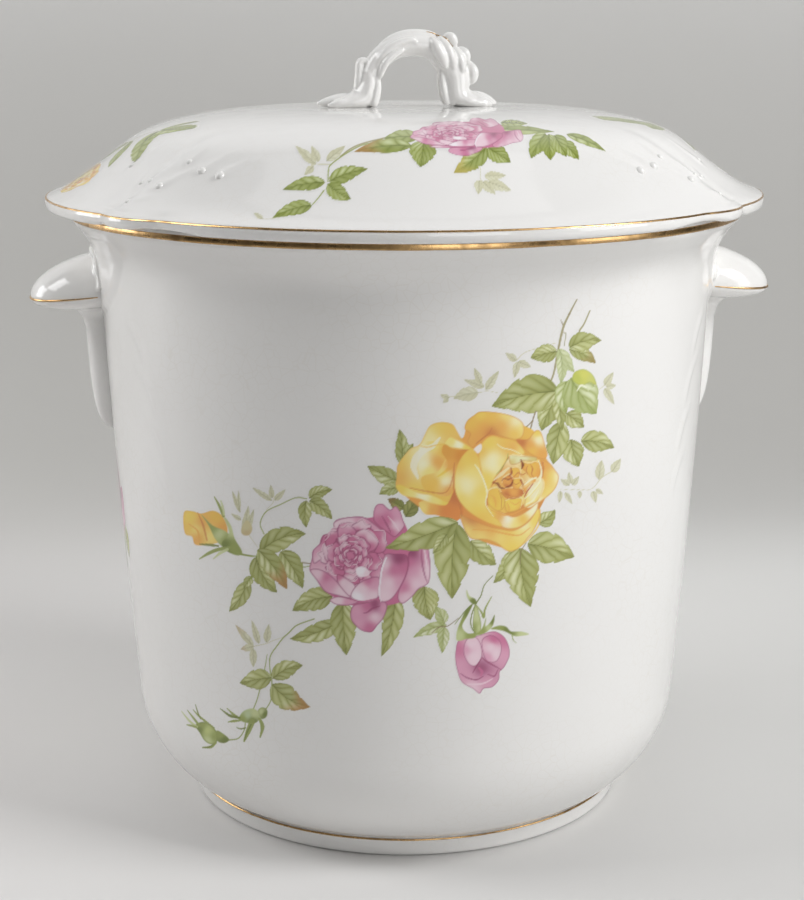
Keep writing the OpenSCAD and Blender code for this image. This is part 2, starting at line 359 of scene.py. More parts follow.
def rounded(points, r, steps=5):
    """A path whose corners are eased by a small curve."""
    p = np.asarray(points, float)
    path = [p[0]]
    for a, b, c in zip(p, p[1:], p[2:]):
        back = (a - b) / np.linalg.norm(a - b)
        ahead = (c - b) / np.linalg.norm(c - b)
        ease = min(r, np.linalg.norm(a - b) * 0.45, np.linalg.norm(c - b) * 0.45)
        for t in np.linspace(0, 1, steps):
            path.append((1 - t) ** 2 * (b + back * ease) + 2 * t * (1 - t) * b
                        + t * t * (b + ahead * ease))
    path.append(p[-1])
    return np.array(path)


def run_length(path):
    """How far along a path each of its points lies."""
    return np.concatenate([[0], np.cumsum(np.linalg.norm(np.diff(path, axis=0), axis=1))])


def evenly(path, gap):
    """The same path with points no further apart than a gap."""
    far = run_length(path)
    count = max(2, int(math.ceil(far[-1] / gap)) + 1)
    at = np.linspace(0, far[-1], count)
    return np.stack([np.interp(at, far, path[:, 0]), np.interp(at, far, path[:, 1])], 1)


print("a half circle of 1 mm is", run_length(arc([0, 0], 1, 0, 180, 90))[-1].round(3), "mm long")

# %% Jar profile
taper_deg = math.degrees(TAPER)
floor_end = math.degrees(math.asin((FLOOR_Z - BOTTOM_C[1]) / (BOTTOM_R - WALL_T)))
bottom_end = math.degrees(math.asin((FOOT_H - BOTTOM_C[1]) / BOTTOM_R))
wall_z = np.linspace(BASE_Z, NECK_Z, 40)[1:-1]
flare_c = [NECK_R + FLARE_R, NECK_Z]
inside = np.concatenate([
    [[0, FLOOR_Z]],
    arc(BOTTOM_C, BOTTOM_R - WALL_T, floor_end, -taper_deg, 12),
    np.stack([wall_at(wall_z) - WALL_T, wall_z], 1),
    arc(flare_c, FLARE_R + WALL_T, 180, FLARE_END, 8)])
flare_out = arc(flare_c, FLARE_R, FLARE_END, 180, 10)
rim = rounded([inside[-1], [RIM_R - RIM_W, JAR_H], [RIM_R - RIM_LEAN, JAR_H], [RIM_R, JAR_H - RIM_T],
               flare_out[0]], RIM_SOFT)
outside = np.concatenate([
    flare_out,
    np.stack([wall_at(wall_z), wall_z], 1)[::-1],
    arc(BOTTOM_C, BOTTOM_R, -taper_deg, bottom_end, 24)])
foot = rounded([outside[-1], [FOOT_TOP_R, FOOT_TOP_Z], [FOOT_R, FOOT_WORN_H], [FOOT_R - FOOT_WORN_W, 0],
                [FOOT_R - FOOT_W, 0], [FOOT_R - FOOT_W, FOOT_HOLLOW], [0, FOOT_HOLLOW]], FOOT_SOFT)
jar_profile = np.concatenate([
    evenly(inside, 9)[:-1], evenly(rim, 1.0)[:-1], evenly(outside, 2.2)[:-1], evenly(foot[:-1], 1.0),
    [[0, FOOT_HOLLOW]]])
print("jar profile", len(jar_profile), "points")


# %% Turned grids
def ring_faces(count, sides):
    """Faces of a shell of rings that is closed by two end points, which come last."""
    i, j = np.meshgrid(np.arange(count - 1), np.arange(sides), indexing="ij")
    k = (j + 1) % sides
    quads = np.stack([i * sides + j, i * sides + k, (i + 1) * sides + k, (i + 1) * sides + j], -1)
    faces = quads.reshape(-1, 4).tolist()
    first = count * sides
    last_ring = first - sides
    faces += [[first, (c + 1) % sides, c] for c in range(sides)]
    faces += [[first + 1, last_ring + c, last_ring + (c + 1) % sides] for c in range(sides)]
    return faces


def swung(shape, rows, theta):
    """Rows of radius and height swung to each of many angles, as a grid of points."""
    full = np.zeros((len(rows), len(theta)))
    return shape(full + theta, full + rows[:, :1], full + rows[:, 1:])


def turned(profile, columns, shape):
    """A closed grid from a profile that starts and ends on the axis. shape places each point."""
    angle = np.linspace(0, 2 * math.pi, columns, endpoint=False)
    rings = profile[1:-1]
    grid = swung(shape, rings, angle)
    ends = [[0, 0, profile[0, 1]], [0, 0, profile[-1, 1]]]
    return np.concatenate([grid.reshape(-1, 3), ends]), ring_faces(len(rings), columns)


def turned_points(theta, r, z):
    return np.stack([r * np.cos(theta), r * np.sin(theta), z], -1)


def near_path(across, up, path):
    """Distance from points to a polyline drawn on the surface, and how far along it lies, 0 to 1."""
    best = np.full(np.shape(across), 1e9)
    along = np.zeros(np.shape(across))
    count = len(path) - 1
    for i, (a, b) in enumerate(zip(path, path[1:])):
        d = np.subtract(b, a)
        t = np.clip(((across - a[0]) * d[0] + (up - a[1]) * d[1]) / (d @ d), 0, 1)
        far = np.hypot(across - a[0] - t * d[0], up - a[1] - t * d[1])
        along = np.where(far < best, (i + t) / count, along)
        best = np.minimum(best, far)
    return best, along


print("a turned shell of 3 rings and 8 columns has", len(ring_faces(3, 8)), "faces")

# %% [markdown]
# The collar is a soft pad that widens upwards into the flared rim. The feather ridges are drawn in
# millimetres, as the distance round the wall from the middle of the ear and the height.

# %% Collar and feather ridges on the wall
COLLAR_H = 1.4
COLLAR_EDGE = 6.0
COLLAR_HEIGHTS = [212, 220, 225, 231, 238, 248]
COLLAR_HALVES = [12, 33, 43, 51, 57, 63]
COLLAR_FADE = (244, 253)
FEATHERS = [[(57, 217), (63, 214), (68, 208), (70, 202)],
            [(62, 200), (69, 196), (74, 189), (76, 182)],
            [(68, 180), (74, 176), (78, 170), (80, 163)],
            [(72, 160), (77, 157), (81, 151), (82, 145)]]
FEATHER_H = 0.45
FEATHER_W = 1.7
ON_WALL = 0.6


def outer_at(z):
    """Radius of the outside of the wall, flare included."""
    lift = np.clip(z - NECK_Z, 0, FLARE_R * 0.98)
    return wall_at(np.minimum(z, NECK_Z)) + FLARE_R - np.sqrt(FLARE_R ** 2 - lift ** 2)


def wall_relief(theta, z):
    around = off_ear(theta) * NECK_R
    half = np.interp(z, COLLAR_HEIGHTS, COLLAR_HALVES)
    fade = smoothstep(COLLAR_HEIGHTS[0], COLLAR_HEIGHTS[1], z) * (1 - smoothstep(*COLLAR_FADE, z))
    raised = COLLAR_H * smoothstep(0, COLLAR_EDGE, half - around) * fade
    for path in FEATHERS:
        far, along = near_path(around, z, flow(path, 4))
        fade = np.sin(math.pi * (0.1 + 0.8 * along))
        raised = raised + FEATHER_H * np.exp(-(far / FEATHER_W) ** 2) * fade
    return raised


def jar_shape(theta, r, z):
    outer = (np.abs(r - outer_at(z)) < ON_WALL) & (z > BASE_Z)
    return turned_points(theta, r + np.where(outer, wall_relief(theta, z), 0), z)


print("the collar stands", wall_relief(np.zeros(1), np.full(1, 235.0)).round(2), "mm proud")

# %% Jar shell
JAR_COLUMNS = 480
points, faces = turned(jar_profile, JAR_COLUMNS, jar_shape)
jar_shell = mesh_object("jar_shell", points, [f[::-1] for f in faces], white_glaze)
place(jar_shell, "jar", "glaze", "jar_body")

# %% [markdown]
# ## The lid's shell
# The lid is turned as well: a flat crown, a dome, a hollow skirt and a thin lip, with a flange
# under it that drops into the mouth. The lobes grow from nothing at the shoulder to full depth at
# the lip, so their cusps run up the skirt as creases, with moulded drops and beads beside them.

# %% Lid profile
LID_T = 6.5
CROWN_R = 44.0
CROWN_PULL = 0.4
DOME_DROP = 12.4
DOME_PULL = 1.27
SKIRT_PULL = 0.305
EDGE_PULL = 0.2
SHOULDER_SLOPE = math.radians(36)
EDGE_SLOPE = math.radians(20)
SHOULDER = np.array([116.0, CROWN_Z - DOME_DROP])
LID_H = CROWN_Z - JAR_H
SHOULDER_DIR = np.array([math.cos(SHOULDER_SLOPE), -math.sin(SHOULDER_SLOPE)])
EDGE_DIR = np.array([math.cos(EDGE_SLOPE), -math.sin(EDGE_SLOPE)])
LIP_H = 4.3
LIP_W = 6.0
LIP_UNDER = 0.6
LIP_LEAN = 0.2
LIP_SOFT = 1.5
EDGE = np.array([LID_R - LIP_W, JAR_H + LIP_H + LIP_W * math.tan(EDGE_SLOPE)])
SEAT_R = RIM_R - 11
FLANGE_R = NECK_R - WALL_T - 1.5
FLANGE_T = 5.5
FLANGE_Z = lid_low[2]
FLANGE_RISE = 7.0
FLANGE_ROOT = 22.0


def bezier(p, steps):
    t = np.linspace(0, 1, steps)[:, None]
    return (1 - t) ** 3 * p[0] + 3 * t * (1 - t) ** 2 * p[1] + 3 * t * t * (1 - t) * p[2] + t ** 3 * p[3]


crown_edge = np.array([CROWN_R, CROWN_Z])
crown_curve = bezier([crown_edge, crown_edge + [(SHOULDER[0] - CROWN_R) * CROWN_PULL, 0],
                      SHOULDER - SHOULDER_DIR * DOME_DROP * DOME_PULL, SHOULDER], 24)
skirt_curve = bezier([SHOULDER, SHOULDER + SHOULDER_DIR * LID_H * SKIRT_PULL,
                      EDGE - EDGE_DIR * LID_H * EDGE_PULL, EDGE], 16)
lid_top = np.concatenate([crown_curve, skirt_curve[1:]])
lip = rounded([EDGE, [LID_R, JAR_H + LIP_H], [LID_R - LIP_LEAN, JAR_H + LIP_UNDER], [LID_R - LIP_W, JAR_H],
               [SEAT_R, JAR_H]], LIP_SOFT)
flange = rounded([[SEAT_R, JAR_H], [FLANGE_R, JAR_H + FLANGE_RISE], [FLANGE_R, FLANGE_Z],
                  [FLANGE_R - FLANGE_T, FLANGE_Z], [FLANGE_R - FLANGE_T, CROWN_Z - FLANGE_ROOT]], LIP_SOFT)
slope = np.gradient(crown_curve, axis=0)
inward = np.stack([slope[:, 1], -slope[:, 0]], 1) / np.linalg.norm(slope, axis=1)[:, None]
under = (crown_curve + inward * LID_T)[::-1]
lid_profile = np.concatenate([
    [[0, CROWN_Z]], evenly(lid_top, 1.45)[:-1], evenly(lip, 1.0)[:-1], flange, evenly(under, 7),
    [[0, CROWN_Z - LID_T]]])
print("lid profile", len(lid_profile), "points")

# %% [markdown]
# The relief on the skirt is drawn as radius and degrees from the ear, once, and holds for all four
# quarters: a fold that runs to the first cusp, and drops that swell towards a bead at their tip.

# %% Relief on the lid
FOLD_R = [96, 114, 125, 134, 141, 152]
FOLD_DEG = [35.5, 36, 34, 34.5, 34.5, 33]
FOLD_DEEP = 0.4
FOLD_W = 5.0
FOLD_SWELL = 8.0
FOLD_SOFT = 3.0
SKIRT_START = (98, 116)
SKIRT_STOP = (LID_R - 5, LID_R - 1)
LOBE_GROW = (SHOULDER[0] - 14, LID_R - 2)
CUSP_GROW = (LID_R - 9, LID_R - 1)
HANG_R = (RIM_R + 0.6, RIM_R + 2.4)
HANG_Z = (JAR_H + 0.8, JAR_H + 3.4)
LIP_DROP = 1.0
LIP_WAVE = [0, 24, 30, 33, 36, 40, 43, 46, 50, 54, 90]
LIP_RISE = [0, 0, 0.1, 0.9, 0.3, 0.5, 1.4, 1.7, 1.2, 0.2, 0]
DROPS = [(131.6, 39.8, 121, 45), (130, 36.2, 120, 38.5), (140.3, 36.2, 136, 41.5), (123.7, 46, 112, 51),
         (125.2, 50.5, 115, 57), (120.5, 41.5, 109, 43), (125.2, 24.8, 113, 27), (131.2, 33.8, 124, 32)]
DROP_H = 0.5
DROP_W = 2.0


def lid_top_at(r):
    return np.interp(r, lid_top[:, 0], lid_top[:, 1])


def lid_relief(theta, r):
    turn = np.degrees(off_ear(theta))
    on = smoothstep(*SKIRT_START, r) * (1 - smoothstep(*SKIRT_STOP, r))
    fold = np.radians(turn - np.interp(r, FOLD_R, FOLD_DEG)) * r
    raised = FOLD_DEEP * on * (np.exp(-((fold - FOLD_SWELL) / FOLD_W) ** 2) - np.exp(-(fold / FOLD_W) ** 2))
    for r_bead, deg_bead, r_tail, deg_tail in DROPS:
        path = [(r_bead, 0), (r_tail, math.radians(deg_tail - deg_bead) * r_tail)]
        far, along = near_path(r, np.radians(turn - deg_bead) * r, path)
        raised = raised + DROP_H * np.exp(-(far / (DROP_W * (1.1 - 0.6 * along))) ** 2) * (1 - along)
    return raised


def lip_outline(theta, r):
    """How far the lobes pull a point in, with soft folds on the skirt and crisp cusps at the lip."""
    folds = lobed(theta, LID_R, FOLD_SOFT) - LID_R
    cusps = lobed(theta, LID_R) - LID_R
    return folds + smoothstep(*CUSP_GROW, r) * (cusps - folds)


def lid_shape(theta, r, z):
    outward = smoothstep(*LOBE_GROW, r) * (z > JAR_H - 0.5)
    top = z > lid_top_at(r) - 0.3
    lift = np.where(top, lid_relief(theta, r), 0)
    hang = smoothstep(*HANG_R, r) * (1 - smoothstep(*HANG_Z, z)) * ~top
    wave = np.interp(np.degrees(off_ear(theta)), LIP_WAVE, LIP_RISE) - LIP_DROP
    across = r + outward * lip_outline(theta, r) + 0.55 * lift
    return turned_points(theta, across, z + 0.8 * lift + hang * wave)


print("a drop stands", lid_relief(np.radians([46.0]), np.array([123.7])).round(2), "mm proud")

# %% Lid shell
LID_COLUMNS = 720
points, faces = turned(lid_profile, LID_COLUMNS, lid_shape)
lid_shell = mesh_object("lid_shell", points, [f[::-1] for f in faces], white_glaze)
place(lid_shell, "lid", "glaze", "lid")

# %% [markdown]
# ## Things that follow a path
# Root ridges, leaf strands and gilt lines are all thin rods of changing thickness. A node tree makes
# them: it turns bare polylines, which carry their half thickness as an attribute, into curves and
# sweeps a circle along each. A curve with a bevel would do for one rod, but not for a whole bundle.


# %% Running a node tree
def tree_input(tree, name):
    sockets = [s for s in tree.interface.items_tree if s.item_type == "SOCKET" and s.in_out == "INPUT"]
    return next(s.identifier for s in sockets if s.name == name)


def plain_mesh(holder):
    """The evaluated mesh of an object that is then no longer needed."""
    graph = bpy.context.evaluated_depsgraph_get()
    mesh = bpy.data.meshes.new_from_object(holder.evaluated_get(graph))
    bpy.data.objects.remove(holder)
    return mesh


def made_by(tree, holder, values):
    """Runs a node tree on a holder object and gives the result as a plain mesh."""
    modifier = holder.modifiers.new(tree.name, "NODES")
    modifier.node_group = tree
    for name, value in values.items():
        modifier[tree_input(tree, name)] = value
    return plain_mesh(holder)


def new_tree(name, result, **inputs):
    """An empty node tree with named inputs and one geometry that comes out."""
    tree = bpy.data.node_groups.new(name, "GeometryNodeTree")
    for socket, kind in inputs.items():
        tree.interface.new_socket(socket, in_out="INPUT", socket_type="NodeSocket" + kind)
    tree.interface.new_socket(result, in_out="OUTPUT", socket_type="NodeSocketGeometry")
    return tree, add_node(tree, "NodeGroupInput").outputs


def dressed_result(tree, result, geometry, finish):
    """Ends a tree: real geometry, smooth shading and a material."""
    whole = add_node(tree, "GeometryNodeRealizeInstances", inputs={"Geometry": geometry})
    smooth = add_node(tree, "GeometryNodeSetShadeSmooth", inputs={"Geometry": whole.outputs["Geometry"]})
    dressed = add_node(tree, "GeometryNodeSetMaterial", inputs={
        "Geometry": smooth.outputs["Geometry"], "Material": finish})
    add_node(tree, "NodeGroupOutput", inputs={result: dressed.outputs["Geometry"]})
    print(tree.name, len(tree.nodes), "nodes")


def path_holder(name, rows, edges):
    """An object of bare points and edges. A row is x, y, z and half thickness, in millimetres."""
    mesh = bpy.data.meshes.new(name)
    mesh.from_pydata((rows[:, :3] * MM).tolist(), edges, [])
    mesh.attributes.new("thick", "FLOAT", "POINT").data.foreach_set("value", rows[:, 3])
    return linked(name, mesh)


# %% Rods along paths
rods, given = new_tree("rods_along_paths", "Rods", Paths="Geometry", Sides="Int", Finish="Material")
curve = add_node(rods, "GeometryNodeMeshToCurve", inputs={"Mesh": given["Paths"]})
thick = add_node(rods, "GeometryNodeInputNamedAttribute", {"data_type": "FLOAT"}, {"Name": "thick"})
ring = add_node(rods, "GeometryNodeCurvePrimitiveCircle", inputs={
    "Resolution": given["Sides"], "Radius": MM})
swept = add_node(rods, "GeometryNodeCurveToMesh", inputs={
    "Curve": curve.outputs["Curve"], "Profile Curve": ring.outputs["Curve"],
    "Scale": thick.outputs["Attribute"], "Fill Caps": True})
dressed_result(rods, "Rods", swept.outputs["Mesh"], given["Finish"])


def rods_mesh(name, runs, sides, material):
    """Rods along runs of x, y, z and half thickness, in millimetres."""
    edges = []
    start = 0
    for run in runs:
        edges += [(start + i, start + i + 1) for i in range(len(run) - 1)]
        start += len(run)
    holder = path_holder(name, np.concatenate(runs), edges)
    return made_by(rods, holder, {"Sides": sides, "Finish": material})


# %% [markdown]
# Slip and glaze melt pieces of clay together, so that no joint shows a sharp inner corner. Several
# closed shells are made into one skin by a voxel remesh, and a few rounds of smoothing take its
# steps away. A boolean union would keep the corners sharp.


# %% Melting shells together
def shell_of(mesh):
    points = np.zeros(len(mesh.vertices) * 3)
    mesh.vertices.foreach_get("co", points)
    return points.reshape(-1, 3) / MM, [list(p.vertices) for p in mesh.polygons]


def lofted(rings):
    """A closed shell through rings that all have as many points."""
    rings = np.asarray(rings, float)
    points = np.concatenate([rings.reshape(-1, 3), [rings[0].mean(0)], [rings[-1].mean(0)]])
    return points, ring_faces(*rings.shape[:2])


def melted(name, shells, voxel, rounds, material):
    """One smooth skin round several closed shells."""
    points = []
    faces = []
    start = 0
    for shell_points, shell_faces in shells:
        points.append(shell_points)
        faces += [[start + v for v in face] for face in shell_faces]
        start += len(shell_points)
    holder = mesh_object(name, np.concatenate(points), faces, material)
    remesh = holder.modifiers.new("melt", "REMESH")
    remesh.mode = "VOXEL"
    remesh.voxel_size = voxel * MM
    remesh.use_smooth_shade = True
    soften = holder.modifiers.new("soften", "SMOOTH")
    soften.iterations = rounds
    soften.factor = 0.5
    mesh = plain_mesh(holder)
    mesh.materials.clear()
    mesh.materials.append(material)
    return linked(name, mesh)


# %% [markdown]
# ## The ear handles
# Each ear is a hooded ledge with a sharp lower edge, a hollow-looking belly under it and a strap that
# runs down the wall. All three are stacks of tongue-shaped rings with their roots in the clay, and
# a lumpy ridge covers the joint, as the moulded leaf does on the real one. Melting them together
# gives the soft inner corners of glazed clay.

# %% Ear shapes
EAR_Z = JAR_H - 35.5
EAR_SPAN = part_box("right_handle")[1][0] / MM
EAR_W = 50.0
EAR_CREST = 16.5
EAR_ARCH = 2.2
HOOD_ROUND = 0.55
EAR_DROP = 3.3
EAR_BELLY = 5.5
TAIL_L = 56.0
TAIL_W = 19.0
TAIL_T = 8.0
EAR_ROOT = 124.5
EAR_OUT = EAR_SPAN - EAR_ROOT
RING_STOP = 0.985
RIDGE_T = 1.7
RIDGE_LUMP = 0.5
RIDGE_LUMPS = 9
BELLY = [(1, 0), (0.97, 0.3), (0.86, 0.6), (0.62, 0.9), (0.36, 1.1), (0.16, 1.4), (0.04, 1.9), (0.0, 2.6)]
TONGUE = np.radians(np.linspace(-90, 90, 49))


def tongue(root, half, out, z, drop):
    reach = out * np.cos(TONGUE).clip(0, 1) ** (2 / 3)
    return np.stack([root + reach, half * np.sin(TONGUE), z - drop * reach / EAR_OUT], 1)


def hood_ring(u):
    out = EAR_OUT * (1 - u ** EAR_ARCH) ** HOOD_ROUND
    return tongue(EAR_ROOT, EAR_W / 2 * math.sqrt(1 - u * u), out, EAR_Z + EAR_CREST * u, EAR_DROP)


def belly_ring(part, down):
    tail_out = wall_at(EAR_Z - EAR_BELLY) + TAIL_T - EAR_ROOT
    half = TAIL_W / 2 + (EAR_W - TAIL_W) / 2 * part
    out = tail_out + (EAR_OUT - tail_out) * part
    return tongue(EAR_ROOT, half, out, EAR_Z - EAR_BELLY * down, EAR_DROP)


def tail_ring(u):
    z = EAR_Z - EAR_BELLY - TAIL_L * u
    part = math.sqrt(1 - u ** 6)
    sink = WALL_T / 3
    return tongue(wall_at(z) - sink, TAIL_W / 2 * (1 - 0.35 * u) * part, sink + TAIL_T * part, z, 0)


def ridge_run():
    """The lumpy ridge over the joint of hood and wall."""
    run = []
    for a in np.radians(np.linspace(-84, 84, 43)):
        y = (EAR_W / 2 + 0.6) * math.sin(a)
        z = EAR_Z + 1 + (EAR_CREST - 0.5) * math.cos(a)
        x = math.sqrt(float(outer_at(np.array(z))) ** 2 - y * y) + COLLAR_H
        run.append((x, y, z, RIDGE_T + RIDGE_LUMP * math.sin(RIDGE_LUMPS * a)))
    return np.array(run)


hood_heights = RING_STOP * np.sin(np.radians(np.linspace(0, 90, 26)[::-1]))
tail_depths = RING_STOP * np.linspace(-0.04, 1, 22).clip(0, 1)
ear_rings = [hood_ring(u) for u in hood_heights] + [belly_ring(*b) for b in flow(BELLY, 3)[1:]]
tail_rings = [tail_ring(u) for u in tail_depths]
print("ear", len(ear_rings), "rings, tail", len(tail_rings), "rings")

# %% Ears on the jar
EAR_SIDES = (("left_ear", -1), ("right_ear", 1))
MELT_ROUNDS = 4
ears = {}
for name, side in EAR_SIDES:
    turn = np.array([side, side, 1])
    ridge = shell_of(rods_mesh(name + "_ridge", [ridge_run()], 12, white_glaze))
    shells = [lofted(ear_rings), lofted(tail_rings), ridge]
    ears[name] = melted(name, [(p * turn, f) for p, f in shells], 0.5, MELT_ROUNDS, white_glaze)
    place(ears[name], "jar", "glaze", name.replace("ear", "handle"))

# %% [markdown]
# ## The leaf loop on the lid
# The loop is a bundle of reeds that climbs from the left foot, crosses the top and breaks into
# curling leaf tips on the right. Each reed is a rod through a few points given as place along the
# crown, height over it, place across and half thickness. A slimmer arch inside keeps it solid, and
# the same reeds are mirrored to the back. They are melted together with a finer voxel than the ears.

# %% Reeds of the loop
REEDS = [
    [(-14.5, 17.5, 0, 2.2), (-11.5, 22.3, 0, 2.2), (-6.8, 26.6, 0, 2.4), (-0.8, 29.2, 0, 2.4),
     (5.6, 29.8, 0, 2.4), (11.5, 29.2, 0, 2.2), (16.2, 26.6, 0, 1.8)],
    [(-13.2, 14.5, 4.4, 1.9), (-10.8, 20, 5, 1.9), (-6.8, 24.2, 5.2, 1.9), (-2, 26.8, 5.3, 1.8),
     (2.4, 27.6, 5.3, 1.7), (4.6, 26.2, 5.6, 1.5)],
    [(-11.2, 12, 5.6, 1.7), (-8.8, 18, 6.4, 1.7), (-5, 21.6, 6.6, 1.5), (-1, 23.4, 6.4, 1.2)],
    [(18, 13, 2.6, 2.6), (19.4, 6, 3, 2.8), (20.6, 0.4, 3.4, 3)],
    [(10.5, 28.5, 3.6, 1.8), (12.5, 25.5, 5.6, 2.3), (15, 20.5, 6.6, 2.4), (16.8, 16, 6.6, 1.9)],
    [(14, 29, 2.6, 1.8), (17, 25, 4.6, 2.2), (19.4, 19.5, 5.8, 2.2), (20.2, 15.5, 6, 1.6)],
    [(20.5, 25, 2, 1.8), (22.6, 20.5, 4, 2.2), (23.8, 16, 5, 2), (22.8, 13.8, 5.4, 1.4)],
    [(16, 28.5, 0, 2), (19.5, 28.6, 1.2, 2.2), (21.4, 25, 1.8, 1.9)],
    [(22, 24, 0, 2), (25.2, 22, 1.2, 2.3), (26.4, 18, 2, 2)],
    [(26, 19, 0, 2), (28.6, 15, 1.4, 2.6), (28.4, 11.2, 2, 2.2), (26.6, 9.6, 1.6, 1.4)],
    [(23, 14, 3.6, 2), (21.4, 8, 4.4, 2.2), (22.8, 3.6, 5, 2.2), (27.5, 1.6, 5, 1.8)],
    [(25, 10.5, 2, 1.8), (23.6, 6, 2.6, 2.2), (27.6, 4.6, 2.6, 2.2), (33, 2.8, 2.4, 2),
     (38.5, 0.8, 1.6, 1.2)],
    [(15, 16, 3.4, 1.2), (15.8, 9, 4.2, 1.6), (17.6, 0.6, 4.6, 1.8)],
    [(-14.8, 17.6, 1.6, 1.7), (-17, 19.2, 2, 1.6), (-19, 18.2, 2, 1.6), (-19.4, 13, 2.4, 1.7),
     (-20.4, 7, 2.8, 1.6), (-22, 4.4, 3.2, 1.4)],
    [(-15.8, 16, 4, 1.9), (-15, 10.5, 5, 2), (-16.6, 5.5, 5.4, 1.9), (-19.2, 3, 5.6, 1.5)],
    [(-12.4, 15, 4.6, 1.7), (-12.1, 8.5, 4.8, 1.9), (-13.4, 2.5, 5, 2.1), (-14.4, 0.4, 5.2, 2)],
    [(-14, 13, 2.6, 2.4), (-15, 6, 3, 2.8), (-16.2, 0.4, 3.6, 3.2)],
    [(-22, 3.8, 0, 3), (-29, 2.8, 0, 2.6), (-37, 1.4, 0, 1.8)],
    [(-22, 2.4, 4, 2.4), (-28, 1.6, 5, 2), (-33, 0.8, 3.6, 1.4)],
    [(27, 4.8, 0, 3), (33.5, 3.2, 0, 2.4), (39.2, 0.9, 0, 1.5)],
    [(27, 2.8, 4.5, 2.4), (33, 1.6, 4.5, 2), (37, 0.6, 3, 1.2)]]
ARCH = [
    (-30, 0.8, 0, 1.6, 6), (-22.5, 2, 25, 3, 7), (-17.2, 4.2, 55, 5, 6.6), (-15.4, 9.4, 85, 4, 5.8),
    (-13.6, 15.2, 76, 4, 5.2), (-10.2, 20.2, 52, 4, 5.2), (-4.3, 24.2, 24, 4, 5.4),
    (3.5, 25.8, 3, 4.2, 5.4), (10.6, 24.6, -18, 4.4, 5.4), (16.4, 20.8, -48, 5, 5.6),
    (20, 15.6, -68, 5.6, 5.8), (21.6, 10.6, -82, 5.6, 6.2), (22.4, 4.8, -62, 5, 6.6),
    (28, 2, -25, 2.8, 7), (34, 0.8, -6, 1.6, 6)]
print("loop of", len(REEDS), "reeds over", len(ARCH), "stations")

# %% Loop skin
ARCH_BULK = 0.7


def arch_ring(station):
    x, h, slope, half_thick, half_wide = station
    a = np.radians(np.linspace(0, 360, 24, endpoint=False))
    lift = (half_thick + ARCH_BULK) * np.cos(a)
    tilt = math.radians(slope)
    across = (half_wide + ARCH_BULK) * np.sin(a)
    return np.stack([x - lift * math.sin(tilt), across, CROWN_Z + h + lift * math.cos(tilt)], 1)


def reed_runs():
    runs = []
    for reed in REEDS:
        for side in ((1,) if all(p[2] == 0 for p in reed) else (-1, 1)):
            run = flow([(x, side * y, CROWN_Z + h, r) for x, h, y, r in reed], 5)
            run[:, 3] *= 0.4 + 0.6 * np.sin(np.linspace(0, math.pi, len(run))) ** 0.5
            runs.append(run)
    return runs


arch_shell = lofted([arch_ring(s) for s in flow(ARCH, 4)])
reed_shell = shell_of(rods_mesh("reeds", reed_runs(), 14, white_glaze))
leaf_loop = melted("leaf_loop", [arch_shell, reed_shell], 0.42, MELT_ROUNDS, white_glaze)
place(leaf_loop, "lid", "glaze", "lid_handle")

# %% [markdown]
# ## Beads on the lid
# Every drop on the skirt ends in a small round bead that catches the light. They repeat, so a node
# tree sets a ball of the right size on each point, sunk past its middle so that only a cap shows.

# %% Beads
BEADS = [(125.2, 24.8, 1.0), (120.5, 41.5, 1.2), (123.7, 46, 1.7), (125.2, 50.5, 1.8), (131.2, 33.8, 1.0),
         (130, 36.2, 1.1), (131.6, 39.8, 1.6), (140.3, 36.2, 1.1)]
BEAD_SINK = 0.72
BEAD_BALL = 1.2
beading, given = new_tree("beads_on_points", "Beads", Points="Geometry", Finish="Material")
ball = add_node(beading, "GeometryNodeMeshUVSphere", inputs={"Segments": 16, "Rings": 10, "Radius": MM})
thick = add_node(beading, "GeometryNodeInputNamedAttribute", {"data_type": "FLOAT"}, {"Name": "thick"})
set_on = add_node(beading, "GeometryNodeInstanceOnPoints", inputs={
    "Points": given["Points"], "Instance": ball.outputs["Mesh"], "Scale": thick.outputs["Attribute"]})
dressed_result(beading, "Beads", set_on.outputs["Instances"], given["Finish"])

# %% Beads on the lid
seats = []
for r, degrees, size in BEADS:
    for turn in (degrees, 180 - degrees, 180 + degrees, -degrees):
        x, y, z = lid_shape(np.array(math.radians(turn)), np.array(r), lid_top_at(r))
        seats.append((x, y, z - BEAD_SINK * size, BEAD_BALL * size))
holder = path_holder("bead_points", np.array(seats), [])
lid_beads = linked("lid_beads", made_by(beading, holder, {"Finish": white_glaze}))
place(lid_beads, "lid", "glaze")

# %% [markdown]
# ## Gilding
# Gold was brushed on last, as a film: a band on the rim's edge, a line on the lid's lip, one at the
# foot and one along the edge of each ear. On the turned parts the film is a strip of the same profile
# a tenth of a millimetre proud, whose edges wander as a brush does.

# %% Gilt strips
GILT_LIFT = 0.12
GILT_SINK = 0.5
BRUSH_WAVES = [(5, 1.0), (11, 0.7), (23, 0.5), (41, 0.4)]


def wander(angle, size, seed):
    """A slow uneven drift round the jar, as a hand-held brush leaves."""
    return size * sum(k * np.sin(n * angle + seed * n * 1.7) for n, k in BRUSH_WAVES) / 2.6


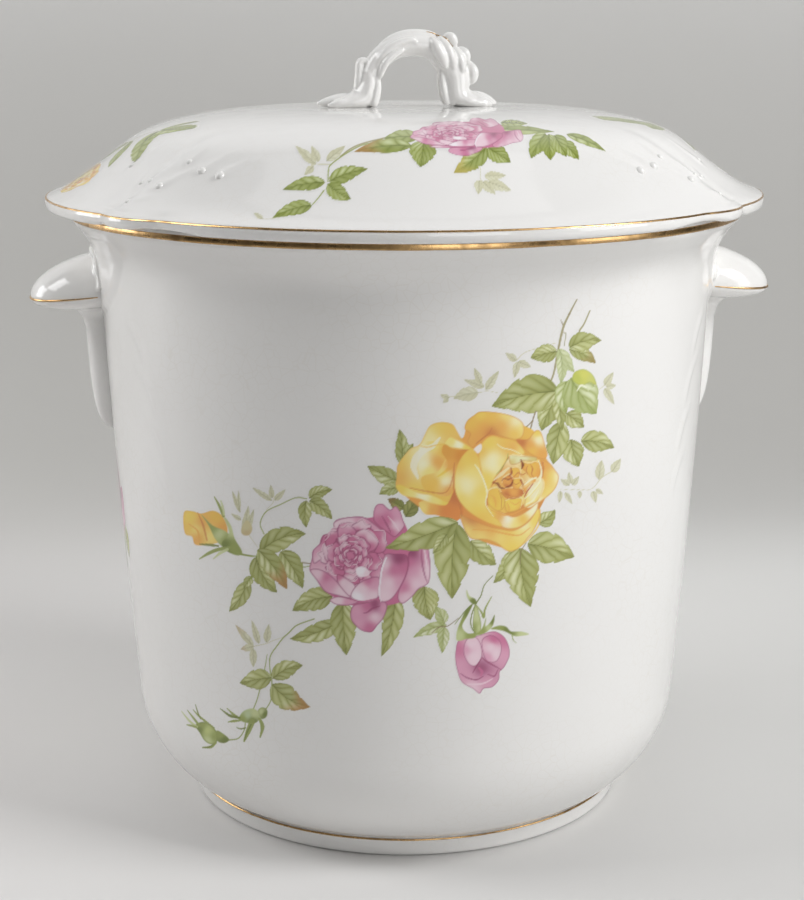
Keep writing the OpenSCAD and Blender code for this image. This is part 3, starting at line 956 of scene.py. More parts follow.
def gilt_strip(name, path, columns, shape, drift, body, node):
    path = evenly(np.asarray(path, float), 0.1)
    far = run_length(path)
    slope = np.gradient(path, axis=0)
    normal = np.stack([-slope[:, 1], slope[:, 0]], 1) / np.linalg.norm(slope, axis=1)[:, None]
    angle = np.linspace(0, 2 * math.pi, columns, endpoint=False)
    start = drift + wander(angle, drift, 1)
    stop = far[-1] - drift + wander(angle, drift, 2)
    rows = []
    for t, lift in [(t, GILT_LIFT) for t in np.linspace(0, 1, 8)] + [(1, -GILT_SINK), (0, -GILT_SINK)]:
        at = start + (stop - start) * t
        r = np.interp(at, far, path[:, 0]) + lift * np.interp(at, far, normal[:, 0])
        z = np.interp(at, far, path[:, 1]) + lift * np.interp(at, far, normal[:, 1])
        rows.append(shape(angle, r, z))
    rows = np.array(rows)
    count = len(rows)
    i, j = np.meshgrid(np.arange(count), np.arange(columns), indexing="ij")
    i2 = (i + 1) % count
    j2 = (j + 1) % columns
    quads = np.stack([i * columns + j, i2 * columns + j, i2 * columns + j2, i * columns + j2], -1)
    strip = mesh_object(name, rows.reshape(-1, 3), quads.reshape(-1, 4).tolist(), bright_gold)
    place(strip, body, "gilt", node)


print("the brush drifts up to", wander(np.linspace(0, 6, 500), 1, 1).max().round(2), "of its size")

# %% Gilt strips on the jar and the lid
PATH_STEP = 0.05


def profile_part(path, middle, before, after):
    """The stretch of a path from a little before to a little after the point nearest to middle."""
    fine = evenly(np.asarray(path, float), PATH_STEP)
    at = np.linalg.norm(fine - middle, axis=1).argmin()
    return fine[max(0, at - int(before / PATH_STEP)):at + int(after / PATH_STEP) + 1]


def lid_edge(theta, r, z):
    return turned_points(theta, r + smoothstep(*LOBE_GROW, r) * lip_outline(theta, r), z)


rim_edge = profile_part(rim, [RIM_R, JAR_H - 2.5], 1.3, 1.4)
lip_edge = profile_part(lip, [LID_R, JAR_H + LIP_H], 0.5, 0.4)
foot_edge = profile_part(foot, [FOOT_TOP_R, FOOT_TOP_Z], 0.4, 0.5)
gilt_strip("rim_band", rim_edge, 720, turned_points, 0.15, "jar", "rim_gilt_band")
gilt_strip("lid_line", lip_edge, 720, lid_edge, 0.08, "lid", "lid_gilt_line")
gilt_strip("foot_line", foot_edge, 480, turned_points, 0.1, "jar", "foot_gilt_line")

# %% [markdown]
# The ear's line follows the sharp edge of the hood, and the loop keeps a worn stroke on its shoulder.
# Both are rods laid on the finished skin, found by the nearest point on it.

# %% Gilt lines on the ears and the loop
EAR_LINE_T = 0.55
LOOP_LINE_T = 0.3
LOOP_LINE = [(9, -1.6, 31), (13, -1.8, 30.5), (16.5, -2, 28.5), (19, -2.2, 26), (20.5, -2.4, 24)]


def laid_on(piece, points):
    """The same points moved to the nearest place on a piece."""
    return np.array([piece.closest_point_on_mesh(Vector(p) * MM)[1] for p in points]) / MM


def thickened(points, half):
    ends = np.sin(np.linspace(0.12, math.pi - 0.12, len(points))) ** 0.4
    return np.concatenate([points, (half * ends)[:, None]], 1)


for name, side in EAR_SIDES:
    edge = hood_ring(0.0)[1:-1] * np.array([side, side, 1])
    run = thickened(laid_on(ears[name], edge), EAR_LINE_T)
    place(linked(name + "_gilt", rods_mesh(name + "_gilt", [run], 10, bright_gold)), "jar", "gilt")
shoulder = flow([(x, y, CROWN_Z + h) for x, y, h in LOOP_LINE], 6)
run = thickened(laid_on(leaf_loop, shoulder), LOOP_LINE_T)
place(linked("loop_gilt", rods_mesh("loop_gilt", [run], 10, bright_gold)), "lid", "gilt")

# %% [markdown]
# ## Painting a print
# The rose sprays are transfers: coloured dots printed on paper, slid on to the glaze and fired in. A
# transfer could be an image, but here it is painted point by point, so that it stays sharp and needs
# no file. A sheet is a cloud of points on the jar with a colour and a cover for each. Three brushes
# work on it: a petal fills an outline with tones that run into each other, a stroke draws a line of
# changing width, and a leaf has a rib, veins, a lit half and a toothed edge.


# %% Sheets
def new_sheet(spots):
    """A bare sheet for points at these places in the picture."""
    count = len(spots)
    return {"spots": spots, "rgb": np.tile(shade(GLAZE), (count, 1)), "cover": np.zeros(count)}


def under_brush(sheet, reach, margin):
    low = reach.min(0) - margin
    high = reach.max(0) + margin
    return np.flatnonzero(((sheet["spots"] > low) & (sheet["spots"] < high)).all(1))


def tinted(colour, share, towards):
    """Colours moved by their share towards another."""
    return colour + share[:, None] * (towards - colour)


def lay(sheet, at, cover, colour):
    cover = np.clip(cover, 0, 1)
    sheet["rgb"][at] = tinted(sheet["rgb"][at], cover, colour)
    sheet["cover"][at] += cover * (1 - sheet["cover"][at])


def depth_in(spots, loop):
    """Distance to a closed outline, more than nothing inside and less outside."""
    x, y = spots.T
    far, along = near_path(x, y, loop)
    inside = np.zeros(len(spots), bool)
    for (ax, ay), (bx, by) in zip(loop, loop[1:]):
        if ay != by:
            crossing = (ay > y) != (by > y)
            inside ^= crossing & (x < ax + (bx - ax) * (y - ay) / (by - ay))
    return np.where(inside, far, -far)


SQUARE = np.array([(0, 0), (9, 0), (9, 9), (0, 9), (0, 0)], float)
print("depth in and beside a square", depth_in(np.array([(4.0, 3.0), (12.0, 3.0)]), SQUARE))


# %% Petals and strokes
def petal(sheet, outline, tones, edge=None, soft=0.7):
    """Fills an outline. tones are (place, colour) pairs, edge is a colour, a width and a strength."""
    ring = np.asarray(outline, float)
    loop = flow(np.concatenate([ring[-1:], ring, ring[:2]]), 4)[4:-4]
    at = under_brush(sheet, loop, 2)
    spots = sheet["spots"][at]
    if len(at) == 0:
        return
    depth = depth_in(spots, loop)
    reach = 0.12 * np.ptp(loop, axis=0).mean()
    pull = [1 / (((spots - place) ** 2).sum(1) + reach ** 2) ** 1.5 for place, colour in tones]
    pull = np.array(pull) / np.sum(pull, axis=0)
    colour = pull.T @ np.array([shade(c) for place, c in tones])
    if edge:
        tint, wide, share = edge
        colour = tinted(colour, share * np.exp(-(np.maximum(depth, 0) / wide) ** 2), shade(tint))
    lay(sheet, at, smoothstep(-soft, soft, depth), colour)


def stroke(sheet, points, widths, colour, strength=1.0, soft=0.45):
    """A brush line whose half width runs through the given widths."""
    run = flow(points, 5)
    at = under_brush(sheet, run, max(widths) + 1)
    if len(at) == 0:
        return
    x, y = sheet["spots"][at].T
    far, along = near_path(x, y, run)
    half = np.interp(along, np.linspace(0, 1, len(widths)), widths)
    lay(sheet, at, strength * smoothstep(half + soft, half - soft, far), shade(colour))


test_sheet = new_sheet(np.array([(0.0, 0.0), (0.0, 1.2), (0.0, 3.0)]))
stroke(test_sheet, [(-9, 0), (9, 0)], (1, 1), "#000000")
print("cover under and beside a stroke", test_sheet["cover"].round(2))

# %% Leaves
LEAF_GREEN = ("#7c823f", "#b0b46e", "#dde0b8")
LEAF_FRESH = ("#6f7c2b", "#98a352", "#c9d29f")
LEAF_PALE = ("#bfbd98", "#cfcdae", "#dcdcc4")
RIB_STEPS = 24


def leaf(sheet, base, tip, wide, bend=0.0, lit=1, blush=None, tone=LEAF_GREEN, strength=1.0):
    """A leaf from base to tip. bend bows the rib, lit says which half is light."""
    base = np.asarray(base, float)
    tip = np.asarray(tip, float)
    reach = tip - base
    long = np.hypot(*reach)
    side = np.array([-reach[1], reach[0]]) / long
    t = np.linspace(0, 1, RIB_STEPS + 1)[:, None]
    rib = base + reach * t + side * bend * long * 4 * t * (1 - t)
    at = under_brush(sheet, rib, wide + 1.5)
    if len(at) == 0:
        return
    x, y = sheet["spots"][at].T
    far, along = near_path(x, y, rib)
    slope = np.gradient(rib, axis=0)
    i = np.clip((along * RIB_STEPS).round().astype(int), 0, RIB_STEPS)
    hand = np.sign(slope[i, 0] * (y - rib[i, 1]) - slope[i, 1] * (x - rib[i, 0])) * lit

    # The outline: no two leaves have the same teeth, because their place is their seed.
    seed = float(base.sum() + 2 * tip.sum())
    lobes = 4.3 + 0.8 * math.sin(seed)
    wave = along * lobes + 0.25 * hand + 0.06 * np.sin(seed + 9 * along)
    notch = smoothstep(0.5, 1, wave % 1) * smoothstep(0.2, 0.45, along)
    half = wide * np.sin(math.pi * np.clip(along, 0, 1) ** 0.72) ** 0.9 * (1 - 0.13 * notch)
    half = np.maximum(half * (1 + 0.05 * np.sin(5 * along + seed)), 0.01)
    v = np.clip(far / half, 0, 1)

    # The blade swells between its veins, catches light on one half and is dark along the rib.
    dark, mid, light = (shade(c) for c in tone)
    turn = wave - 1.5 * v * wide / long * lobes + 0.35 * v * v
    vein = np.abs(turn - turn.round())
    puff = np.sin(math.pi * (turn % 1)) * np.sin(math.pi * v) ** 0.7
    fade = 0.72 + 0.28 * np.sin(seed * 1.7 + 6 * along + 2 * hand)
    glow = np.where(hand > 0, 1.0, 0.5) * puff * fade * smoothstep(1, 0.65, along)
    gloom = np.where(hand > 0, 0.12, 0.5) * (1 - 0.5 * v) + 0.35 * smoothstep(0.35, 0, along)
    line = 0.38 * np.exp(-(vein / 0.09) ** 2) * (1 - 0.75 * v)
    rim = 0.5 * np.exp(-((half - far) / 0.55) ** 2) + 0.4 * smoothstep(0.72, 1, along)
    centre = 0.7 * np.exp(-(far / 0.35) ** 2) * (1 - 0.7 * along)
    colour = tinted(tinted(mid, gloom, dark), glow, light)
    colour = tinted(colour, line, dark * 0.9)
    colour = tinted(colour, np.clip(rim, 0, 0.7), dark)
    colour = tinted(colour, centre, dark * 0.8)
    if blush:
        colour = tinted(colour, 0.7 * smoothstep(0.5, 0.95, along + 0.15 * v), shade(blush))
    lay(sheet, at, strength * smoothstep(-0.45, 0.45, half - far), colour)


leaf(test_sheet, (-9, 0), (9, 0), 2)
print("colour in the middle of a leaf", test_sheet["rgb"][0].round(2))


# %% Blooms from petals and strokes
def moved(points, frame):
    """Points of an enlarged drawing, placed in the picture by an origin and two scales."""
    return np.asarray(points, float) * [frame[2], frame[3]] + [frame[0], frame[1]]


def flower(sheet, frame, parts):
    """A bloom drawn on an enlarged grid, from the back to the front.

    A petal is an outline, the places of each of its tones, and an edge or None. A stroke is a path,
    half widths, a colour and a strength.
    """
    size = math.sqrt(abs(frame[2] * frame[3]))
    for points, *rest in parts:
        spots = moved(points, frame)
        if len(rest) == 2:
            tones, edge = rest
            pairs = [(moved(place, frame), colour) for colour in tones for place in tones[colour]]
            petal(sheet, spots, pairs, edge and (edge[0], edge[1] * size, edge[2]))
        else:
            widths, colour, strength = rest
            stroke(sheet, spots, [w * size for w in widths], colour, strength, soft=0.35)


def whorl(centre, rings, seed, tones, inside, lip, fold):
    """Small petals of a heart. A ring is two radii, the number of petals and the start angle."""
    parts = []
    centre = np.array(centre)
    for k, (rx, ry, count, start) in enumerate(rings):
        for n in range(count):
            a = math.radians(start + 360 * n / count + 14 * math.sin(seed + 3 * k + 5 * n))
            spread = math.radians(360 / count * (0.6 + 0.12 * math.sin(seed + 4 * n + k)))
            swell = 1 + 0.12 * math.sin(seed + 7 * n + 2 * k)
            outer = []
            for t in (-1, -0.6, -0.2, 0.2, 0.6, 1):
                reach = swell * (1 - 0.2 * t * t + 0.05 * math.sin(9 * t + seed + n))
                turn = a + t * spread
                outer.append(centre + [rx * reach * math.cos(turn), ry * reach * math.sin(turn)])
            inner = [centre + (p - centre) * 0.68 for p in outer]
            tone = tones[(n + k) % len(tones)]
            shades = {inside: [inner[2], inner[4]], lip: [outer[3]]}
            shades[tone] = shades.get(tone, []) + [(outer[2] + inner[3]) / 2, outer[1]]
            parts.append((outer + inner[::-1], shades, (fold, 7, 0.85)))
            parts.append((outer[1:5], (2, 5, 5, 2), lip, 0.85))
    return parts


# %% [markdown]
# ## The yellow rose
# Two blooms grow from one stalk: a large open one and a younger one at its left. The petals are laid
# from the back to the front, each with a few tones and a turned edge. The heart of the open bloom is
# too uneven for a loop, so its small petals and their dark folds are drawn one by one.

# %% Heart of the yellow rose
CREAM = "#f4f1cf"
LEMON = "#f0df84"
YELLOW = "#ecd05f"
AMBER = "#eabf58"
ORANGE = "#e6a854"
RUST = "#c97a45"
UMBER = "#a35b3c"
SEPIA = "#7d3f26"
WARM = ("#d58d48", 6, 0.7)
HEART_EDGE = ("#c97f42", 7, 0.5)
HEART_LIP = "#f5e8b0"


def small_petals(rows):
    """Petals of a heart: outline, the tone of the middle and a deep one, each with a pale lip."""
    parts = []
    for outline, tone, deep in rows:
        across = outline[len(outline) // 2]
        tones = {tone: [np.mean(outline, axis=0), outline[0]], deep: [across, outline[-1]]}
        parts.append((outline, tones, HEART_EDGE))
        parts.append((outline[:4], (2, 5, 5, 2), HEART_LIP, 0.75))
    return parts


HEART_PETALS = [
    ([(905, 407), (936, 399), (989, 407), (1016, 407), (1104, 416), (1095, 452), (1042, 447), (998, 443),
      (980, 460), (936, 474), (910, 460)], "#e6e4b4", "#d9c67c"),
    ([(994, 447), (1051, 460), (1095, 447), (1131, 460), (1135, 531), (1104, 575), (1060, 567),
      (1033, 531), (998, 496)], AMBER, ORANGE),
    ([(746, 699), (760, 655), (821, 637), (848, 673), (874, 735), (865, 788), (821, 814), (777, 805),
      (750, 752)], AMBER, YELLOW),
    ([(874, 735), (927, 717), (998, 717), (989, 788), (936, 814), (883, 814)], YELLOW, AMBER),
    ([(848, 646), (918, 637), (998, 646), (1016, 682), (954, 708), (883, 699)], ORANGE, RUST),
    ([(918, 496), (963, 487), (989, 514), (980, 567), (936, 575), (910, 540)], AMBER, ORANGE),
    ([(856, 602), (865, 567), (910, 540), (936, 575), (927, 629), (883, 637)], ORANGE, RUST),
    ([(936, 575), (989, 567), (1007, 602), (980, 646), (936, 646)], AMBER, ORANGE),
    ([(1007, 602), (1060, 575), (1104, 567), (1095, 611), (1051, 655), (1016, 673)], "#efd293", ORANGE),
    ([(1042, 637), (1140, 575), (1158, 637), (1122, 726), (1060, 770), (1016, 779), (1025, 708)],
     "#efe8c6", LEMON)]
YELLOW_HEART = [
    *small_petals(HEART_PETALS),
    ([(794, 584), (848, 540), (901, 496)], (4, 14, 8), "#f0dfae", 0.9),
    ([(990, 436), (1006, 470), (996, 500)], (4, 10, 4), SEPIA, 0.8),
    ([(1060, 470), (1075, 500), (1070, 540), (1085, 565)], (2, 6, 5, 2), RUST, 0.75),
    ([(1150, 455), (1155, 500), (1150, 560)], (6, 5, 2), RUST, 0.7),
    ([(930, 600), (955, 615), (985, 600)], (2, 4, 2), RUST, 0.7),
    ([(1000, 650), (1030, 640), (1060, 610)], (2, 4, 2), ORANGE, 0.8),
    ([(770, 690), (800, 720), (810, 780)], (2, 5, 3), ORANGE, 0.8),
    ([(830, 660), (850, 720), (850, 790)], (2, 5, 2), RUST, 0.55),
    ([(910, 740), (950, 762), (985, 740)], (2, 4, 2), ORANGE, 0.8),
    ([(1060, 700), (1090, 660), (1130, 610)], (2, 5, 2), LEMON, 0.8),
    ([(1040, 480), (1030, 510), (1040, 545)], (2, 5, 2), RUST, 0.6),
    ([(786, 602), (821, 611), (839, 637), (870, 646)], (4, 9, 8, 5), SEPIA, 0.7),
    ([(850, 590), (870, 572), (900, 580), (925, 565)], (2, 5, 6, 2), UMBER, 0.75),
    ([(918, 496), (923, 531), (901, 558)], (4, 7, 3), UMBER, 0.8),
    ([(883, 637), (918, 620), (936, 584)], (4, 7, 3), SEPIA, 0.7),
    ([(989, 584), (1007, 620)], (7, 4), UMBER, 0.8),
    ([(848, 673), (883, 708), (936, 717), (998, 699)], (4, 6, 5, 3), RUST, 0.8),
    ([(940, 560), (970, 530), (1000, 545), (1030, 530)], (3, 5, 5, 3), RUST, 0.7),
    ([(890, 750), (905, 790), (900, 815)], (3, 5, 3), ORANGE, 0.8),
    ([(1016, 620), (1060, 584), (1104, 567)], (3, 7, 4), CREAM, 0.9),
    ([(1016, 708), (1033, 673), (1078, 611)], (3, 5, 3), "#b9573c", 0.8),
    ([(1030, 760), (1080, 730), (1120, 660)], (3, 6, 3), CREAM, 0.8)]
print("yellow heart", len(YELLOW_HEART), "petals and strokes")

# %% Younger yellow bloom
YELLOW_UNDER = [
    ([(100, 560), (150, 420), (280, 300), (340, 200), (460, 180), (560, 280), (600, 190), (690, 95),
      (860, 105), (1000, 180), (1100, 240), (1160, 400), (1240, 540), (1180, 690), (1110, 830),
      (1000, 1040), (900, 1085), (650, 1000), (550, 860), (430, 850), (280, 800), (110, 660)],
     {ORANGE: [(600, 400), (300, 500), (900, 980)], RUST: [(900, 600)], "#df9650": [(560, 800)],
      AMBER: [(1090, 240)]}, None),
    ([(250, 745), (330, 735), (440, 760), (490, 690), (530, 640), (570, 780), (560, 850), (500, 892),
      (440, 870), (380, 840), (300, 835), (260, 795)],
     {LEMON: [(290, 790)], "#e6a452": [(340, 800)], "#dd8a48": [(450, 810)], RUST: [(510, 700)],
      "#df8e4a": [(540, 840)]}, None)]
YOUNG_BLOOM = [
    ([(85, 560), (90, 480), (135, 410), (190, 350), (250, 325), (290, 250), (330, 185), (410, 160),
      (490, 175), (525, 225), (570, 300), (635, 350), (560, 400), (520, 450), (505, 560), (500, 650),
      (470, 735), (430, 760), (330, 745), (250, 715), (130, 685), (80, 630)],
     {CREAM: [(270, 350), (230, 430), (260, 520), (330, 290)], YELLOW: [(160, 430), (400, 200),
      (430, 530), (220, 640)], ORANGE: [(115, 560), (480, 420), (560, 370)], AMBER: [(110, 480),
      (450, 215), (470, 600), (330, 640), (420, 680)], LEMON: [(380, 470), (290, 280),
      (300, 420)]}, (ORANGE, 10, 0.35)),
    ([(430, 320), (470, 268), (520, 285), (580, 318), (636, 352), (590, 362), (520, 352), (465, 345)],
     {LEMON: [(480, 300)], CREAM: [(540, 325)], YELLOW: [(600, 350)]}, (AMBER, 7, 0.6)),
    ([(430, 335), (500, 362), (610, 366), (560, 405), (510, 455), (470, 480), (450, 430)],
     {ORANGE: [(520, 385)], AMBER: [(470, 420)], RUST: [(590, 372)]}, None),
    ([(78, 632), (110, 615), (180, 645), (260, 680), (340, 692), (440, 738), (462, 748), (430, 770),
      (330, 752), (250, 722), (130, 694)],
     {YELLOW: [(110, 640), (440, 752)], CREAM: [(270, 695)], LEMON: [(200, 670),
      (380, 735)]}, (AMBER, 6, 0.6)),
    ([(255, 335), (330, 300), (410, 310), (470, 345), (440, 430), (395, 510), (330, 545), (270, 560),
      (240, 470)],
     {CREAM: [(270, 380), (280, 470)], LEMON: [(360, 340), (320, 520)], AMBER: [(420, 370)],
      ORANGE: [(390, 450)]}, None),
    ([(270, 560), (390, 520), (450, 440), (520, 440), (505, 560), (495, 650), (460, 700), (360, 690),
      (280, 640)],
     {LEMON: [(420, 540)], CREAM: [(440, 590)], AMBER: [(360, 600), (330, 650)], ORANGE: [(490, 480),
      (470, 660)]}, None),
    ([(432, 324), (494, 354), (565, 368), (618, 363), (565, 425), (529, 469), (494, 496), (414, 549),
      (379, 558), (458, 487), (441, 425), (414, 381)],
     {"#dda048": [(470, 380)], "#d9913f": [(550, 410)], ORANGE: [(480, 470)],
      YELLOW: [(410, 545)]}, None),
    ([(400, 275), (350, 335), (285, 365), (230, 420), (210, 490), (240, 570)],
     (6, 18, 24, 28, 24, 8), "#f2efdc", 0.8),
    ([(180, 640), (300, 665), (420, 680), (470, 640), (500, 540)], (3, 5, 4, 5), RUST, 0.6),
    ([(250, 330), (300, 345), (370, 330), (432, 322)], (2, 5, 5, 3), AMBER, 0.6)]
print("younger bloom", len(YOUNG_BLOOM), "petals and strokes")

# %% Open yellow bloom
OPEN_BACK = [
    ([(580, 210), (600, 150), (650, 110), (690, 85), (760, 85), (850, 95), (940, 120), (1000, 160),
      (1015, 215), (1000, 270), (950, 290), (900, 280), (800, 255), (740, 265), (690, 300), (640, 350),
      (600, 305), (622, 245)],
     {AMBER: [(640, 170), (780, 130), (950, 240)], YELLOW: [(700, 110)], ORANGE: [(720, 200), (850, 190),
      (690, 270)], LEMON: [(880, 110), (990, 210)], CREAM: [(960, 160)], RUST: [(770, 240)]}, WARM),
    ([(780, 205), (760, 240), (700, 290), (660, 320)], (2, 5, 5, 2), RUST, 0.7),
    ([(960, 285), (1040, 285), (1080, 240), (1110, 218), (1140, 240), (1168, 330), (1184, 400),
      (1155, 432), (1080, 405), (1020, 365), (970, 315)],
     {ORANGE: [(1060, 330), (1140, 390)], YELLOW: [(1110, 240)], CREAM: [(1120, 290)],
      RUST: [(1000, 310)], AMBER: [(1070, 370)]}, WARM),
    ([(1140, 438), (1200, 460), (1240, 510), (1268, 560), (1245, 640), (1190, 700), (1120, 750),
      (1050, 790), (1010, 760), (1080, 680), (1130, 600), (1150, 520)],
     {YELLOW: [(1210, 560)], ORANGE: [(1170, 480), (1150, 560)], AMBER: [(1150, 640)],
      CREAM: [(1250, 560), (1100, 735)], LEMON: [(1180, 660)]}, WARM),
    ([(545, 835), (600, 855), (680, 890), (760, 920), (850, 940), (930, 950), (1000, 920), (1060, 870),
      (1110, 790), (1132, 820), (1120, 880), (1080, 960), (1040, 1010), (990, 1070), (920, 1106),
      (870, 1090), (820, 1050), (740, 1020), (640, 1015), (600, 980), (570, 920)],
     {LEMON: [(600, 950), (700, 990), (970, 990), (840, 1000)], YELLOW: [(930, 1085), (1090, 880)],
      ORANGE: [(700, 905), (780, 945)], RUST: [(640, 870)], AMBER: [(900, 965)],
      CREAM: [(1010, 900)]}, WARM),
    ([(640, 945), (760, 950), (880, 975), (980, 985), (1060, 930)], (2, 6, 6, 5, 2), ORANGE, 0.75),
    ([(1130, 800), (1125, 900), (1060, 1000), (960, 1090)], (4, 6, 6, 3), AMBER, 0.7),
    ([(700, 330), (740, 280), (790, 262), (850, 278), (920, 290), (985, 330), (1018, 390), (960, 402),
      (905, 410), (880, 450), (840, 520), (800, 570), (770, 640), (748, 700), (720, 600), (695, 480),
      (685, 400)],
     {YELLOW: [(760, 320), (740, 570)], AMBER: [(880, 330), (700, 370)], CREAM: [(790, 430), (795, 470)],
      ORANGE: [(930, 350)], LEMON: [(840, 460), (980, 385)]}, (AMBER, 8, 0.6)),
    ([(900, 385), (890, 440), (850, 500), (810, 545)], (2, 5, 5, 2), "#9a9a55", 0.6),
    ([(815, 320), (860, 350), (930, 365), (1000, 400)], (2, 4, 4, 2), CREAM, 0.8),
    ([(890, 440), (960, 402), (1060, 410), (1120, 440), (1140, 520), (1120, 620), (1060, 700),
      (1010, 760), (940, 800), (850, 830), (790, 820), (760, 760), (750, 690), (770, 640), (830, 560)],
     {CREAM: [(950, 430), (1090, 560), (1060, 640)], LEMON: [(1080, 440), (990, 700), (800, 680)],
      AMBER: [(1040, 520), (820, 740), (900, 760)], ORANGE: [(930, 560), (850, 640)],
      RUST: [(960, 620)]}, None)]
OPEN_FRONT = [
    ([(1120, 440), (1140, 510), (1130, 590), (1080, 660), (1020, 720)], (3, 6, 6, 6, 3), CREAM, 0.9),
    ([(750, 760), (800, 795), (870, 825), (930, 850), (990, 835), (1060, 790), (1115, 745), (1110, 800),
      (1060, 870), (1000, 920), (930, 940), (860, 930), (800, 880), (750, 825)],
     {"#f7f5ea": [(900, 870)], ORANGE: [(830, 840)], AMBER: [(1000, 870)], LEMON: [(950, 900)],
      YELLOW: [(780, 820)], CREAM: [(1070, 810)]}, WARM),
    ([(770, 800), (850, 835), (920, 835), (1000, 800), (1080, 750)], (3, 6, 6, 5, 2), ORANGE, 0.75),
    ([(640, 352), (600, 370), (550, 430), (515, 520), (505, 610), (520, 700), (560, 760), (620, 820),
      (700, 870), (780, 905), (850, 922), (830, 880), (770, 830), (735, 760), (748, 680), (725, 600),
      (700, 520), (690, 440), (668, 390)],
     {YELLOW: [(600, 440), (560, 710), (680, 800), (690, 680)], LEMON: [(625, 530), (525, 640),
      (720, 750)], CREAM: [(590, 610), (597, 645)], AMBER: [(540, 470), (700, 850),
      (650, 410)]}, (AMBER, 6, 0.75)),
    ([(655, 470), (690, 520), (725, 600), (745, 680), (735, 760), (790, 850)],
     (3, 6, 6, 6, 4, 2), CREAM, 0.9),
    ([(649, 355), (697, 319), (706, 355), (680, 390), (657, 372)], {"#efe6dc": [(680, 352)]}, None),
    ([(505, 460), (500, 560), (505, 660), (545, 760), (560, 850)], (4, 7, 8, 8, 4), RUST, 0.55)]
YELLOW_ROSE = YELLOW_UNDER + YOUNG_BLOOM + OPEN_BACK + YELLOW_HEART + OPEN_FRONT
print("yellow rose", len(YELLOW_ROSE), "petals and strokes")

# %% [markdown]
# ## The pink rose
# A full cabbage rose seen from the front. Its heart is a whorl of many small turned petals, so the
# whorl is drawn by a loop: rings of short arcs, each a pale petal edge with a dark fold under it.

# %% Back of the pink rose
MILK = "#f2ecf1"
BLUSH = "#ead0da"
PINK = "#dba1ba"
ROSE = "#c87195"
WINE = "#8f4166"
FOLD = (WINE, 7, 0.7)
PINK_BACK = [
    ([(200, 700), (260, 520), (380, 380), (560, 330), (740, 300), (900, 300), (980, 440), (1000, 560),
      (1060, 580), (1130, 560), (1140, 800), (940, 990), (780, 1040), (640, 1060), (500, 1030),
      (350, 960), (240, 850)],
     {ROSE: [(500, 600), (900, 700), (700, 1000), (300, 700)]}, None),
    ([(690, 260), (715, 205), (765, 198), (800, 228), (830, 245), (870, 215), (910, 260), (932, 330),
      (945, 380), (900, 440), (860, 470), (800, 430), (730, 380), (690, 330)],
     {PINK: [(740, 250), (890, 270)], ROSE: [(800, 330), (830, 430), (760, 340)],
      BLUSH: [(870, 380)]}, FOLD),
    ([(760, 300), (800, 370), (830, 430)], (3, 8, 4), WINE, 0.5),
    ([(810, 300), (860, 360), (900, 420)], (3, 9, 5), BLUSH, 0.8),
    ([(980, 600), (1060, 550), (1130, 530), (1150, 620), (1160, 720), (1150, 830), (1120, 870),
      (1060, 900), (1010, 960), (930, 1020), (890, 980), (900, 900), (950, 800), (975, 700)],
     {WINE: [(1010, 600)], ROSE: [(990, 680), (940, 890)], PINK: [(1030, 740), (1110, 590)],
      BLUSH: [(1120, 760), (960, 960), (1040, 860)]}, FOLD),
    ([(1085, 570), (1090, 680), (1110, 780), (1135, 850)], (5, 9, 8, 3), WINE, 0.45),
    ([(1110, 580), (1125, 680), (1140, 780)], (6, 10, 5), BLUSH, 0.9),
    ([(500, 1085), (530, 1030), (620, 1010), (720, 985), (790, 1010), (800, 1060), (770, 1140),
      (720, 1200), (680, 1250), (640, 1255), (590, 1240), (540, 1200), (505, 1150)],
     {PINK: [(560, 1080), (570, 1180), (770, 1050)], WINE: [(700, 1030)], ROSE: [(640, 1040),
      (660, 1220)], BLUSH: [(700, 1130)]}, FOLD),
    ([(600, 1100), (640, 1090), (680, 1060), (740, 1040)], (2, 6, 8, 4), WINE, 0.55),
    ([(330, 985), (400, 960), (500, 980), (570, 1000), (500, 1032), (400, 1032), (350, 1012)],
     {BLUSH: [(400, 990)], PINK: [(480, 1010)]}, FOLD)]
print("back of the pink rose", len(PINK_BACK), "petals and strokes")

# %% Bowl of the pink rose
PINK_BOWL = [
    ([(160, 740), (180, 650), (190, 580), (240, 560), (250, 500), (280, 450), (360, 440), (370, 340),
      (460, 310), (600, 305), (680, 350), (760, 420), (790, 450), (790, 520), (760, 580), (800, 640),
      (760, 720), (740, 830), (735, 930), (720, 980), (640, 1010), (540, 1000), (480, 970), (380, 950),
      (290, 920), (230, 840), (200, 780)],
     {ROSE: [(300, 500), (500, 650), (700, 560)], PINK: [(220, 640), (600, 340), (720, 440), (330, 880),
      (680, 860)], BLUSH: [(420, 350), (600, 950), (260, 800)]}, FOLD),
    ([(362, 350), (450, 312), (600, 306), (680, 350), (760, 420), (725, 440), (640, 405), (545, 372),
      (500, 392), (420, 446), (385, 430), (368, 400)],
     {BLUSH: [(420, 370), (500, 350)], PINK: [(560, 340), (680, 390)]}, FOLD),
    ([(185, 640), (195, 575), (250, 520), (280, 455), (360, 445), (400, 460), (370, 540), (310, 610),
      (250, 660), (200, 690)],
     {PINK: [(230, 600), (340, 480)], ROSE: [(310, 500)], BLUSH: [(250, 640)]}, FOLD)]
HEART_RINGS = [(300, 285, 9, 20), (245, 232, 8, 50), (192, 184, 8, 10), (142, 136, 7, 40),
               (96, 92, 6, 0), (52, 50, 4, 30)]
PINK_HEART = whorl((500, 625), HEART_RINGS, 2, (PINK, BLUSH, ROSE), ROSE, BLUSH, WINE)
